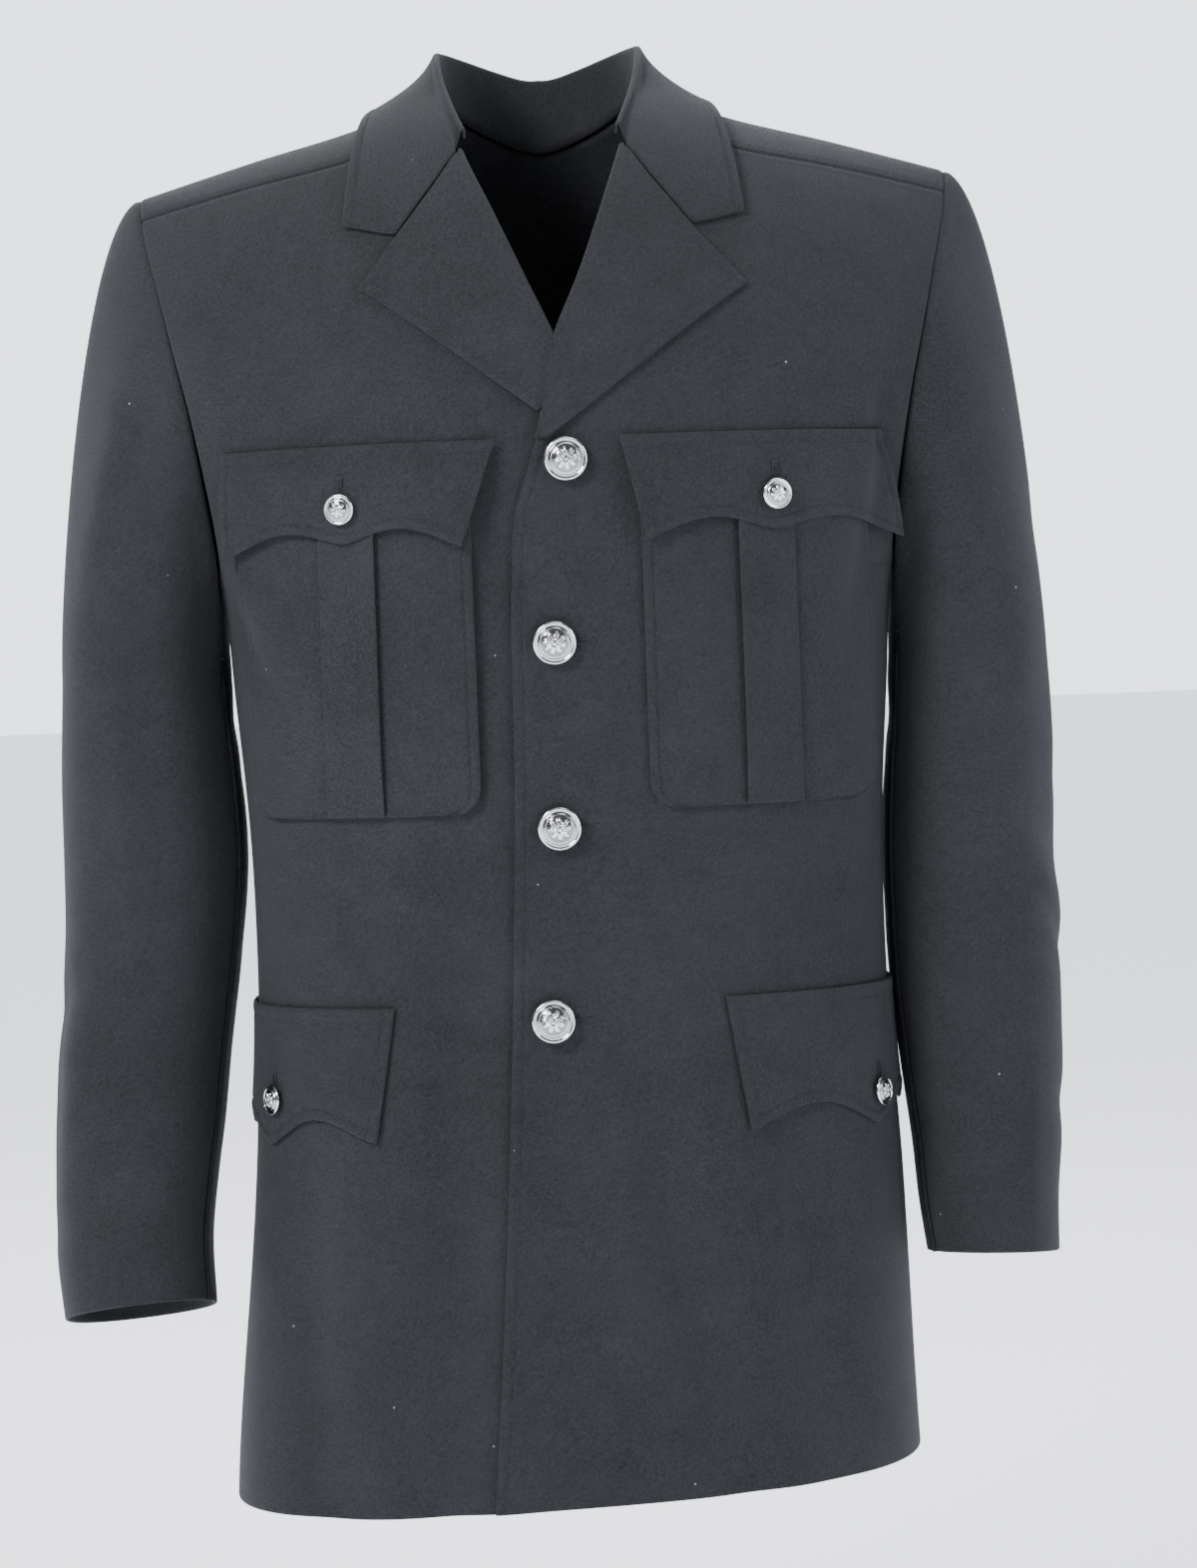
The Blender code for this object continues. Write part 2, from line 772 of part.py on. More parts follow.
# Lapels: the break line is the free edge of the front. The outer edge runs straight
# from the tip to the foot of the lapel.
Lapel = namedtuple("Lapel", "tip foot inner_foot")
LAPELS = {
    "left": Lapel((109 * MM, -94 * MM), (-2 * MM, -176 * MM), (-7.5 * MM, -176 * MM)),
    "right": Lapel((102 * MM, -90 * MM), (11 * MM, -158 * MM), (5 * MM, -155 * MM)),
}
LAPEL_STATIONS = 9
LAPEL_COVER = 1.5 * MM
GORGE_GAP = 1.2 * MM
GORGE_FADE = 3
LAPEL_SHARES = (0, 0.2, 0.4, 0.6, 0.8, 1)


def lapel_place(side, free_edge, station, share):
    """Front-view place on a lapel, from the gorge down and from the break line out."""
    lapel = LAPELS[side]
    top_z = GORGE_START[1]
    z = mix(top_z, lapel.inner_foot[1], station)
    inner = (free_edge(z), z)
    if side == "right":
        cover = LAPEL_COVER - left_edge(z)
        inner = (max(inner[0], cover), z)
    outer = plan_mix(lapel.tip, lapel.foot, station)
    straight = plan_mix(inner, outer, share)
    bend = gorge_place(share, lapel.tip)
    line = plan_mix(GORGE_START, lapel.tip, share)
    fade = (1 - station) ** GORGE_FADE
    return tuple(a + (b - c) * fade for a, b, c in zip(straight, bend, line))


def add_lapel(side, free_edge):
    inner = []
    outer = []
    for i in range(LAPEL_STATIONS):
        places = [lapel_place(side, free_edge, i / (LAPEL_STATIONS - 1), u) for u in LAPEL_SHARES]
        if i == 0:
            places = [(x, z - GORGE_GAP) for x, z in places]
        points = [body_point(x, z, True) for x, z in places]
        inner.append([lift(p, LAYER_GAP) for p in points])
        outer.append([lift(p, LAYER_GAP + CLOTH) for p in points])
    if side == "right":
        inner, outer = mirrored(inner), mirrored(outer)
    add_wall("lapel_" + side, outer, inner)


# Chest pockets and flaps, in the front view
POCKET_INNER = 46 * MM
POCKET_OUTER = 173 * MM
POCKET_TOP = -204 * MM
POCKET_BOTTOM = -379 * MM
POCKET_RADIUS = 15 * MM
PLEAT_MIDDLE = 113 * MM
PLEAT_HALF = 14.5 * MM
PLEAT_STEP = 0.5 * MM
POCKET_OUTER_SHARES = (0.35, 0.65, 0.85, 1)
FLAP_TOP = -176 * MM
FLAP_TOP_SPAN = {"left": (36 * MM, 182 * MM), "right": (31 * MM, 182 * MM)}
FLAP_FOOT_SPAN = {"left": (48 * MM, 187 * MM), "right": (50.5 * MM, 177 * MM)}
FLAP_CORNER_Z = -233 * MM
FLAP_MIDDLE_Z = -229 * MM
FLAP_SCALLOP = 9 * MM
FLAP_COLUMNS = 17
FLAP_BOW = 1.3
FLAP_BEND = 0.42
SCALLOP_POWER = 1.3
CHEST_FLAP_STAND = LAYER + PLEAT_RISE + LAYER_GAP
FLAP_ROWS = (0, 0.2, 0.42, 0.7, 1)
POCKET_ROWS = (0, 0.2, 0.42, 0.64, 0.82, 0.915, 0.95, 0.975, 0.99, 1)


def add_pocket(side):
    inner = []
    outer = []
    for share in POCKET_ROWS:
        z = mix(POCKET_TOP, POCKET_BOTTOM, share)
        up = min(POCKET_RADIUS, z - POCKET_BOTTOM)
        inset = POCKET_RADIUS - math.sqrt(POCKET_RADIUS ** 2 - (POCKET_RADIUS - up) ** 2)
        first = POCKET_INNER + inset
        last = POCKET_OUTER - inset
        low = PLEAT_MIDDLE - PLEAT_HALF
        high = PLEAT_MIDDLE + PLEAT_HALF
        places = [(first, 0), (mix(first, low, 0.5), 0), (low - PLEAT_STEP, 0), (low, PLEAT_RISE)]
        places += [(PLEAT_MIDDLE, PLEAT_RISE), (high, PLEAT_RISE), (high + PLEAT_STEP, 0)]
        places += [(mix(high, last, u), 0) for u in POCKET_OUTER_SHARES]
        points = [(body_point(x, z, True), rise) for x, rise in places]
        inner.append([lift(p, LAYER_GAP) for p, rise in points])
        outer.append([lift(p, LAYER_GAP + LAYER + rise) for p, rise in points])
    if side == "right":
        inner, outer = mirrored(inner), mirrored(outer)
    add_wall("chest_pocket_" + side, outer, inner)


def scallop(share, corner_z, middle_z, depth):
    """Height of a three-point flap edge at a share of its width."""
    off = abs(share - 0.5) * 2
    return mix(middle_z, corner_z, off) + depth * math.sin(math.pi * off) ** SCALLOP_POWER


def add_chest_flap(side):
    inner = []
    outer = []
    for share in FLAP_ROWS:
        row = []
        for column in range(FLAP_COLUMNS):
            u = column / (FLAP_COLUMNS - 1)
            bow = math.sin(u * FLAP_BOW) / math.sin(FLAP_BOW)
            x = mix(mix(*FLAP_TOP_SPAN[side], bow), mix(*FLAP_FOOT_SPAN[side], bow), share)
            foot = scallop(bow, FLAP_CORNER_Z, FLAP_MIDDLE_Z, FLAP_SCALLOP)
            row.append(body_point(x, mix(FLAP_TOP, foot, share), True))
        height = LAYER_GAP + CHEST_FLAP_STAND * ease(share / FLAP_BEND)
        inner.append([lift(p, height) for p in row])
        outer.append([lift(p, height + LAYER) for p in row])
    if side == "right":
        inner, outer = mirrored(inner), mirrored(outer)
    add_wall("chest_flap_" + side, outer, inner)


# Hip flaps, by distance round the body from the middle front
HIP_FLAP_TOP = -484 * MM
HIP_FLAP_MIDDLE_X = {"left": 165 * MM, "right": 170 * MM}
HIP_FLAP_HALF_TOP = {"left": 98 * MM, "right": 92 * MM}
HIP_FLAP_HALF_FOOT = {"left": 87 * MM, "right": 80 * MM}
HIP_FLAP_CORNER_Z = -558 * MM
HIP_FLAP_MIDDLE_Z = -562 * MM
HIP_FLAP_SCALLOP = 14 * MM
RING_SAMPLES = 120


def ring_points(z):
    """Places round the left half of the body at one height, with the distance to each."""
    places = []
    walked = 0
    for i in range(RING_SAMPLES + 1):
        turn = mix(-math.pi / 2, math.pi / 2, i / RING_SAMPLES)
        x = half_width(z) * abs(math.cos(turn)) ** (2 / SQUARENESS)
        p = body_point(x, z, turn < 0)
        if places:
            walked += (p - places[-1][1]).length
        places.append((walked, p))
    return places


def ring_place(places, distance):
    for (a, p), (b, q) in zip(places, places[1:]):
        if distance <= b:
            return p.lerp(q, (distance - a) / (b - a))
    return places[-1][1]


def add_hip_flap(side):
    inner = []
    outer = []
    middle_ring = ring_points((HIP_FLAP_TOP + HIP_FLAP_CORNER_Z) / 2)
    front_part = [pair for pair in middle_ring if pair[1].y < 0]
    middle = min(front_part, key=lambda pair: abs(pair[1].x - HIP_FLAP_MIDDLE_X[side]))[0]
    for share in FLAP_ROWS:
        half = mix(HIP_FLAP_HALF_TOP[side], HIP_FLAP_HALF_FOOT[side], share)
        row = []
        for column in range(FLAP_COLUMNS):
            u = column / (FLAP_COLUMNS - 1)
            foot = scallop(u, HIP_FLAP_CORNER_Z, HIP_FLAP_MIDDLE_Z, HIP_FLAP_SCALLOP)
            z = mix(HIP_FLAP_TOP, foot, share)
            row.append(ring_place(ring_points(z), middle + half * (2 * u - 1)))
        inner.append([lift(p, LAYER_GAP) for p in row])
        outer.append([lift(p, LAYER_GAP + LAYER) for p in row])
    if side == "right":
        inner, outer = mirrored(inner), mirrored(outer)
    add_wall("hip_flap_" + side, outer, inner)


# Buttons: a turned dome with a rolled rim on a short shank
Turned = namedtuple("Turned", "radius height")
LARGE_BUTTON = (
    Turned(0, 8.4),
    Turned(4.5, 7.9),
    Turned(8.2, 6.4),
    Turned(9.8, 5.3),
    Turned(10.9, 5.5),
    Turned(11.8, 4.9),
    Turned(12, 4.0),
    Turned(11.2, 3.0),
    Turned(2.6, 2.6),
    Turned(2.4, 0.3),
    Turned(0, 0.3),
)
SMALL_SHARE = 0.7
BUTTON_STEPS = 20
SMALL_BUTTON_STEPS = 16
MERGE_WITHIN = 0.01 * MM
FRONT_BUTTONS = (Edge(-188, 6.7), Edge(-287, -3.1), Edge(-388, -4.2), Edge(-493.5, -11.5))
CHEST_BUTTONS = {"left": (117.5 * MM, -210 * MM), "right": (114 * MM, -210 * MM)}
HIP_BUTTONS = {"left": (167 * MM, -544.5 * MM), "right": (167 * MM, -536.5 * MM)}


def add_button(name, place, seat, across, share, steps):
    """A button of a given size, standing on cloth whose face is at a height above the body."""
    mesh = bpy.data.meshes.new(name)
    points = []
    for row in LARGE_BUTTON:
        points.append((row.radius * MM * share, 0, max(SEAM_GAP, row.height * MM * share)))
    mesh.from_pydata(points, [(i, i + 1) for i in range(len(points) - 1)], [])
    obj = add_object(name, mesh, "chrome")
    turn = obj.modifiers.new("turned", "SCREW")
    turn.steps = steps
    turn.render_steps = steps
    turn.use_merge_vertices = True
    turn.merge_threshold = MERGE_WITHIN
    turn.use_smooth_shade = True
    point = body_point(place[0], place[1], True)
    normal = body_normal(point)
    point = point + normal * seat
    if across < 0:
        point.x, normal.x = -point.x, -normal.x
    obj.location = point
    obj.rotation_mode = "QUATERNION"
    obj.rotation_quaternion = normal.to_track_quat("Z", "Y")


def add_buttons():
    for number, row in enumerate(FRONT_BUTTONS, 1):
        add_button(f"front_button_{number}", (row.x * MM, row.z * MM), 0, 1, 1, BUTTON_STEPS)
    chest_seat = LAYER_GAP + CHEST_FLAP_STAND + LAYER
    for side, across in (("left", 1), ("right", -1)):
        small = (across, SMALL_SHARE, SMALL_BUTTON_STEPS)
        add_button("chest_button_" + side, CHEST_BUTTONS[side], chest_seat, *small)
        add_button("hip_button_" + side, HIP_BUTTONS[side], LAYER_GAP + LAYER, *small)


start_scene()
add_fronts()
back_rows = add_back()
armhole = armhole_loop(back_rows, front_grid(left_edge))
add_collar()
for wearer_side, break_line in (("left", left_edge), ("right", right_edge)):
    add_sleeve(wearer_side, armhole)
    add_lapel(wearer_side, break_line)
    add_pocket(wearer_side)
    add_chest_flap(wearer_side)
    add_hip_flap(wearer_side)
add_buttons()
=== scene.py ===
# %% [markdown]
# # A uniform tunic in wool serge
# A tailored coat is a set of flat panels that darts, seams and pressing have bent
# round the body. The imported frame already holds each panel as a plain wall. This
# lesson dresses every panel with finer cloth on the same surface: folds, seams,
# topstitching, pleats and chrome buttons. We load the frame first. The dressed coat
# has to stay inside its box.

# %% Load the frame
import json
import math
from collections import namedtuple

import bmesh
import bpy
import numpy as np
from mathutils import Matrix, Vector

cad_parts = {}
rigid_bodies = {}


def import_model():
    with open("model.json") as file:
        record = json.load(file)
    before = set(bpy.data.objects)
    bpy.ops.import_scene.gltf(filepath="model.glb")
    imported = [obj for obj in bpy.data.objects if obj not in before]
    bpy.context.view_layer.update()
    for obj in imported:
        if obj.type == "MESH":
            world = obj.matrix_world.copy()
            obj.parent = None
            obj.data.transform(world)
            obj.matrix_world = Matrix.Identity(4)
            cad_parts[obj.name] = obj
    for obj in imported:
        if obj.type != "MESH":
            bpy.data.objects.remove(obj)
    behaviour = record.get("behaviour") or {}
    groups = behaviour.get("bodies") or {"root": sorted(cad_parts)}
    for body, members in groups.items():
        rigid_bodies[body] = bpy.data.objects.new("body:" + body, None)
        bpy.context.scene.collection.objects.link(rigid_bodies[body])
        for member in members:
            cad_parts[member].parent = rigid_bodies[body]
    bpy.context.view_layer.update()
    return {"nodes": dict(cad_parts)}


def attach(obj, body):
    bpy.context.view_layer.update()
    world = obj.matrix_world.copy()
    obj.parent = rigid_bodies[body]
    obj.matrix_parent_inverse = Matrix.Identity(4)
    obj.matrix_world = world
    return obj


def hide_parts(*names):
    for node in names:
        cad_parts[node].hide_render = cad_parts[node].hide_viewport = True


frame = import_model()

MM = 0.001
print("frame nodes:", len(frame["nodes"]))

# %% [markdown]
# ## Camera
# The photo was taken from about two metres with a long lens, a little to one side
# and slightly tipped. We could shift the lens to get the framing, but turning the
# camera keeps every other view honest, so it aims at the middle of the picture.

# %% Place the camera
EYE = Vector((-0.006, -2.335, -0.29))
AIM = Vector((0.0177, -0.135, -0.3644))
LENS_MM = 93.3
ROLL = math.radians(2.2)


def make_camera():
    data = bpy.data.cameras.new("camera")
    data.lens = LENS_MM
    data.sensor_width = 36
    camera = bpy.data.objects.new("camera", data)
    bpy.context.scene.collection.objects.link(camera)
    turn = (AIM - EYE).to_track_quat("-Z", "Y") @ Matrix.Rotation(-ROLL, 3, "Z").to_quaternion()
    camera.rotation_mode = "QUATERNION"
    camera.rotation_quaternion = turn
    camera.location = EYE
    bpy.context.scene.camera = camera
    return camera


make_camera()
print("camera at", tuple(EYE))

# %% [markdown]
# ## Studio
# Dark wool shows its form only through broad, soft highlights. Large area lights
# give those, and a wide pale floor under a pale sky gives the even ground. An
# upright backdrop would hide the views from behind, so there is none.

# %% Build the floor and the lights
FLOOR_Z = -0.98
FLOOR_HALF = 40.0
FLOOR_GLOW = 1.2


def stage_material(name, colour, roughness):
    material = bpy.data.materials.new(name)
    material.use_nodes = True
    shader = material.node_tree.nodes["Principled BSDF"]
    shader.inputs["Base Color"].default_value = (*colour, 1)
    shader.inputs["Roughness"].default_value = roughness
    return material


def make_floor():
    h = FLOOR_HALF
    mesh = bpy.data.meshes.new("floor")
    corners = [(-h, -h, FLOOR_Z), (h, -h, FLOOR_Z), (h, h, FLOOR_Z), (-h, h, FLOOR_Z)]
    mesh.from_pydata(corners, [], [(0, 1, 2, 3)])
    floor_paint = stage_material("pale_floor", (0.72, 0.73, 0.76), 0.95)
    shader = floor_paint.node_tree.nodes["Principled BSDF"]
    shader.inputs["Specular IOR Level"].default_value = 0.0
    shader.inputs["Emission Color"].default_value = (0.93, 0.95, 1, 1)
    shader.inputs["Emission Strength"].default_value = FLOOR_GLOW
    mesh.materials.append(floor_paint)
    floor = bpy.data.objects.new("floor", mesh)
    bpy.context.scene.collection.objects.link(floor)


def area_light(name, place, target, size, power, colour=(1, 1, 1)):
    data = bpy.data.lights.new(name, "AREA")
    data.shape = "RECTANGLE"
    data.size, data.size_y = size
    data.energy = power
    data.color = colour
    light = bpy.data.objects.new(name, data)
    bpy.context.scene.collection.objects.link(light)
    light.location = place
    light.rotation_mode = "QUATERNION"
    light.rotation_quaternion = (Vector(target) - Vector(place)).to_track_quat("-Z", "Y")


make_floor()
area_light("key_light", (-1.9, -2.1, 1.5), (0, 0, -0.35), (1.1, 0.9), 125)
area_light("fill_light", (2.4, -1.7, 0.5), (0, 0, -0.35), (1.0, 1.8), 42, (0.93, 0.96, 1))
area_light("top_light", (0.2, 0.3, 2.3), (0, 0, -0.2), (2.6, 1.6), 40)
area_light("back_light", (-0.5, 2.3, 1.7), (0, 0, -0.3), (2.4, 1.2), 60)


def make_sky():
    """Air that is bright behind the coat and dimmer in front, so that chrome has contrast."""
    world = bpy.data.worlds.new("studio_air")
    world.use_nodes = True
    tree = world.node_tree
    background = tree.nodes["Background"]
    place = tree.nodes.new("ShaderNodeTexCoord")
    split = tree.nodes.new("ShaderNodeSeparateXYZ")
    spread = tree.nodes.new("ShaderNodeMapRange")
    spread.interpolation_type = "SMOOTHSTEP"
    spread.inputs["From Min"].default_value = 0.1
    spread.inputs["From Max"].default_value = 0.75
    spread.inputs["To Min"].default_value = 0.3
    spread.inputs["To Max"].default_value = 2.9
    tree.links.new(place.outputs["Generated"], split.inputs[0])
    tree.links.new(split.outputs["Y"], spread.inputs["Value"])
    tree.links.new(spread.outputs["Result"], background.inputs["Strength"])
    background.inputs["Color"].default_value = (0.86, 0.89, 0.96, 1)
    bpy.context.scene.world = world


make_sky()
print("studio built, floor at", FLOOR_Z)

# %% [markdown]
# ## Serge as a shader group
# Serge is a twill: its threads climb in fine diagonal wales. Seen from a step away
# it reads as a close grain with a short nap. The group turns the place on the coat
# into a height for bump and two tones for colour, and each cloth material sets its
# own pitch. Using the place itself, and no unwrapping, keeps the weave even.

# %% Weave group
def group_socket(group, name, direction, kind="NodeSocketFloat", value=None):
    socket = group.interface.new_socket(name=name, in_out=direction, socket_type=kind)
    if value is not None:
        socket.default_value = value
    return socket


def add_node(tree, kind, **settings):
    node = tree.nodes.new(kind)
    for key, value in settings.items():
        setattr(node, key, value)
    return node


def join(tree, *pairs):
    for source, target in pairs:
        tree.links.new(source, target)


def do_math(tree, operation, first, second=None, clamp=False):
    node = add_node(tree, "ShaderNodeMath", operation=operation, use_clamp=clamp)
    for socket, value in zip(node.inputs, (first, second)):
        if value is None:
            continue
        if isinstance(value, (int, float)):
            socket.default_value = value
        else:
            tree.links.new(value, socket)
    return node.outputs[0]


def noise(tree, place, scale, detail=2.0, roughness=0.5):
    node = add_node(tree, "ShaderNodeTexNoise")
    node.inputs["Scale"].default_value = scale
    node.inputs["Detail"].default_value = detail
    node.inputs["Roughness"].default_value = roughness
    tree.links.new(place, node.inputs["Vector"])
    return node.outputs["Fac"]


def make_weave_group():
    group = bpy.data.node_groups.new("serge_weave", "ShaderNodeTree")
    group_socket(group, "Pitch", "INPUT", value=0.0009)
    group_socket(group, "Nap", "INPUT", value=0.6)
    for name in ("Height", "Grain", "Mottle", "Lint"):
        group_socket(group, name, "OUTPUT")
    start = add_node(group, "NodeGroupInput")
    end = add_node(group, "NodeGroupOutput")
    place = add_node(group, "ShaderNodeTexCoord").outputs["Object"]
    split = add_node(group, "ShaderNodeSeparateXYZ")
    group.links.new(place, split.inputs[0])
    x, y, z = split.outputs
    turn = do_math(group, "DIVIDE", 2 * math.pi, start.outputs["Pitch"])
    diagonal = do_math(group, "ADD", do_math(group, "ADD", x, y), z)
    wale = do_math(group, "SINE", do_math(group, "MULTIPLY", diagonal, turn))
    across = do_math(group, "SUBTRACT", do_math(group, "SUBTRACT", z, x), y)
    thread = do_math(group, "SINE", do_math(group, "MULTIPLY", across, do_math(group, "MULTIPLY", turn, 0.6)))
    fuzz = noise(group, place, 1100, 3.0, 0.65)
    nap = do_math(group, "MULTIPLY", fuzz, start.outputs["Nap"])
    weave = do_math(group, "ADD", do_math(group, "MULTIPLY", wale, 0.22), do_math(group, "MULTIPLY", thread, 0.12))
    height = do_math(group, "ADD", weave, nap)
    grain = noise(group, place, 620, 2.0, 0.7)
    cloud = noise(group, place, 9, 3.0, 0.55)
    blotch = noise(group, place, 45, 3.0, 0.6)
    mottle = do_math(group, "ADD", do_math(group, "MULTIPLY", cloud, 0.6), do_math(group, "MULTIPLY", blotch, 0.4))
    flecks = add_node(group, "ShaderNodeTexVoronoi", feature="F1")
    flecks.inputs["Scale"].default_value = 55
    group.links.new(place, flecks.inputs["Vector"])
    near = do_math(group, "LESS_THAN", flecks.outputs["Distance"], 0.035)
    chance = add_node(group, "ShaderNodeSeparateColor")
    group.links.new(flecks.outputs["Color"], chance.inputs[0])
    rare = do_math(group, "LESS_THAN", chance.outputs[0], 0.12)
    lint = do_math(group, "MULTIPLY", near, rare)
    join(
        group,
        (height, end.inputs["Height"]),
        (grain, end.inputs["Grain"]),
        (mottle, end.inputs["Mottle"]),
        (lint, end.inputs["Lint"]),
    )
    return group


serge_weave = make_weave_group()
print("weave group sockets:", [item.name for item in serge_weave.interface.items_tree])

# %% [markdown]
# ## Cloth and chrome
# The serge is almost black with a cold cast. A little sheen stands in for the nap
# that catches light at the edges. Its colour swings between two tones with the
# grain and, more slowly, with wear. The thread is the same wool colour, smoother
# and slightly lighter. Chrome is a mirror whose colour is darkened with painted
# shade on the low parts of its face round the relief, in place of the shadow and
# dark reflections in its hollows.

# %% Cloth materials
def cloth_material(name, dark, light, pitch, bump, sheen, roughness):
    material = bpy.data.materials.new(name)
    material.use_nodes = True
    tree = material.node_tree
    shader = tree.nodes["Principled BSDF"]
    weave = add_node(tree, "ShaderNodeGroup", node_tree=serge_weave)
    weave.inputs["Pitch"].default_value = pitch
    tones = add_node(tree, "ShaderNodeMix", data_type="RGBA")
    tones.inputs[6].default_value = (*dark, 1)
    tones.inputs[7].default_value = (*light, 1)
    spread = do_math(tree, "MULTIPLY_ADD", weave.outputs["Grain"], 1.5)
    spread.node.inputs[2].default_value = -0.62
    wear = do_math(tree, "MULTIPLY", weave.outputs["Mottle"], 0.75)
    share = do_math(tree, "ADD", spread, wear, clamp=True)
    fleck = add_node(tree, "ShaderNodeMix", data_type="RGBA")
    fleck.inputs[7].default_value = (0.22, 0.22, 0.23, 1)
    join(
        tree,
        (share, tones.inputs[0]),
        (tones.outputs[2], fleck.inputs[6]),
        (weave.outputs["Lint"], fleck.inputs[0]),
        (fleck.outputs[2], shader.inputs["Base Color"]),
    )
    rough = do_math(tree, "MULTIPLY_ADD", weave.outputs["Mottle"], -0.15)
    rough.node.inputs[2].default_value = roughness + 0.08
    tree.links.new(rough, shader.inputs["Roughness"])
    relief = add_node(tree, "ShaderNodeBump")
    relief.inputs["Strength"].default_value = bump
    relief.inputs["Distance"].default_value = 0.0005
    join(tree, (weave.outputs["Height"], relief.inputs["Height"]), (relief.outputs[0], shader.inputs["Normal"]))
    shader.inputs["Sheen Weight"].default_value = sheen
    shader.inputs["Sheen Roughness"].default_value = 0.45
    shader.inputs["Sheen Tint"].default_value = (0.75, 0.8, 0.9, 1)
    shader.inputs["Specular IOR Level"].default_value = 0.25
    return material


SERGE = cloth_material("serge_cloth", (0.0066, 0.0069, 0.0082), (0.029, 0.0305, 0.0355), 0.0011, 0.75, 0.06, 0.9)
THREAD = cloth_material("sewing_thread", (0.008, 0.009, 0.011), (0.030, 0.032, 0.038), 0.0004, 0.3, 0.03, 0.65)


def chrome_material():
    material = bpy.data.materials.new("button_chrome")
    material.use_nodes = True
    tree = material.node_tree
    shader = tree.nodes["Principled BSDF"]
    place = add_node(tree, "ShaderNodeTexCoord").outputs["Object"]
    haze = noise(tree, place, 260, 3.0, 0.6)
    # This attribute is a painted shade mask. It mixes the low face round the relief towards dark grey, in place of
    # the shadow and dark reflections in the hollows.
    painted_hollow_shade = add_node(tree, "ShaderNodeAttribute", attribute_name="painted_hollow_shade").outputs["Fac"]
    shade = add_node(tree, "ShaderNodeMix", data_type="RGBA")
    shade.inputs[6].default_value = (0.60, 0.61, 0.64, 1)
    shade.inputs[7].default_value = (0.86, 0.86, 0.88, 1)
    painted_shade_mix = add_node(tree, "ShaderNodeMix", data_type="RGBA")
    # Dark grey of the painted shade in the hollows.
    painted_shade_mix.inputs[7].default_value = (0.10, 0.10, 0.11, 1)
    rough = do_math(tree, "MULTIPLY_ADD", haze, 0.16)
    rough.node.inputs[2].default_value = 0.04
    join(
        tree,
        (haze, shade.inputs[0]),
        (shade.outputs[2], painted_shade_mix.inputs[6]),
        (painted_hollow_shade, painted_shade_mix.inputs[0]),
        (painted_shade_mix.outputs[2], shader.inputs["Base Color"]),
        (rough, shader.inputs["Roughness"]),
    )
    shader.inputs["Metallic"].default_value = 1
    return material


CHROME = chrome_material()
print("materials:", SERGE.name, THREAD.name, CHROME.name)

# %% [markdown]
# ## The body's form
# A tailor cuts on a form, and every panel here lies on one: an oval that changes
# with height and rounds over at the shoulders. The frame was worked out from these
# sizes, so the dressed cloth uses them too. Whole arrays of places go through at
# once, because the fine grids have tens of thousands of points.

# %% Sizes of the form, in millimetres
CLOTH = 2.0 * MM
LAYER = 1.7 * MM
SEAM_GAP = 0.3 * MM
LAYER_GAP = 1.0 * MM
UNDER_GAP = 1.0 * MM
UNDER_FLAT = 8 * MM
UNDER_BLEND = 34 * MM
UNDERARM_Z = -251 * MM
HEM_Z = -753 * MM
SQUARENESS = 2.5
RISE_FRONT = 200 * MM
RISE_BACK = 180 * MM

Ring = namedtuple("Ring", "z half_width front back")
BODY = (
    Ring(60, 250, 132, 112),
    Ring(-26, 250, 132, 113),
    Ring(-85, 246, 133, 117),
    Ring(-150, 226, 134, 119),
    Ring(-200, 207, 134, 119),
    Ring(-251, 192, 133, 117),
    Ring(-317, 186, 129, 111),
    Ring(-390, 181, 123, 105),
    Ring(-464, 180, 121, 107),
    Ring(-600, 186, 126, 122),
    Ring(-753, 193, 131, 131),
)
Ridge = namedtuple("Ridge", "x z")
SHOULDER_RIDGE = (Ridge(0, 43), Ridge(20, 42.5), Ridge(60, 27), Ridge(97, 12), Ridge(165, -7), Ridge(234, -27))
SHOULDER_SEAM_DROP = (Ridge(0, 28), Ridge(50, 26), Ridge(230, 15))
Edge = namedtuple("Edge", "z x")
ARMHOLE = (
    Edge(-20, 230),
    Edge(-41, 227.5),
    Edge(-85, 217),
    Edge(-120, 209),
    Edge(-150, 202),
    Edge(-200, 193.5),
    Edge(-225, 190.5),
    Edge(-240, 190),
    Edge(-251, 192),
)
FRONT_EDGE_LEFT = (
    Edge(2, 50),
    Edge(-15, 45),
    Edge(-48, 34),
    Edge(-85, 20.5),
    Edge(-129, 2),
    Edge(-160, -4),
    Edge(-192, -14),
    Edge(-219, -22.5),
    Edge(-250, -25),
    Edge(-370, -28),
    Edge(-478, -33),
    Edge(-667, -45),
    Edge(-753, -52),
)
FRONT_EDGE_RIGHT = (
    Edge(2, 50),
    Edge(-15, 45),
    Edge(-48, 31),
    Edge(-85, 15),
    Edge(-129, -4),
    Edge(-192, -21),
    Edge(-250, -23),
    Edge(-388, -20),
    Edge(-493, -12),
    Edge(-753, 4),
)


def curve(table, key, column, key_unit=MM):
    """A smooth curve through one column of a table, read for whole arrays."""
    rows = sorted(table, key=lambda row: getattr(row, key))
    keys = np.array([getattr(row, key) * key_unit for row in rows])
    values = np.array([getattr(row, column) * MM for row in rows])
    spans = np.diff(keys)
    steps = np.diff(values) / spans
    inner = (steps[:-1] * spans[1:] + steps[1:] * spans[:-1]) / (spans[:-1] + spans[1:])
    slopes = np.concatenate([steps[:1], inner, steps[-1:]])

    def read(place):
        place = np.clip(place, keys[0], keys[-1])
        i = np.clip(np.searchsorted(keys, place, side="right") - 1, 0, len(spans) - 1)
        u = (place - keys[i]) / spans[i]
        start = values[i] * (1 + 2 * u) * (1 - u) ** 2 + slopes[i] * spans[i] * u * (1 - u) ** 2
        end = values[i + 1] * u * u * (3 - 2 * u) - slopes[i + 1] * spans[i] * u * u * (1 - u)
        return start + end

    return read


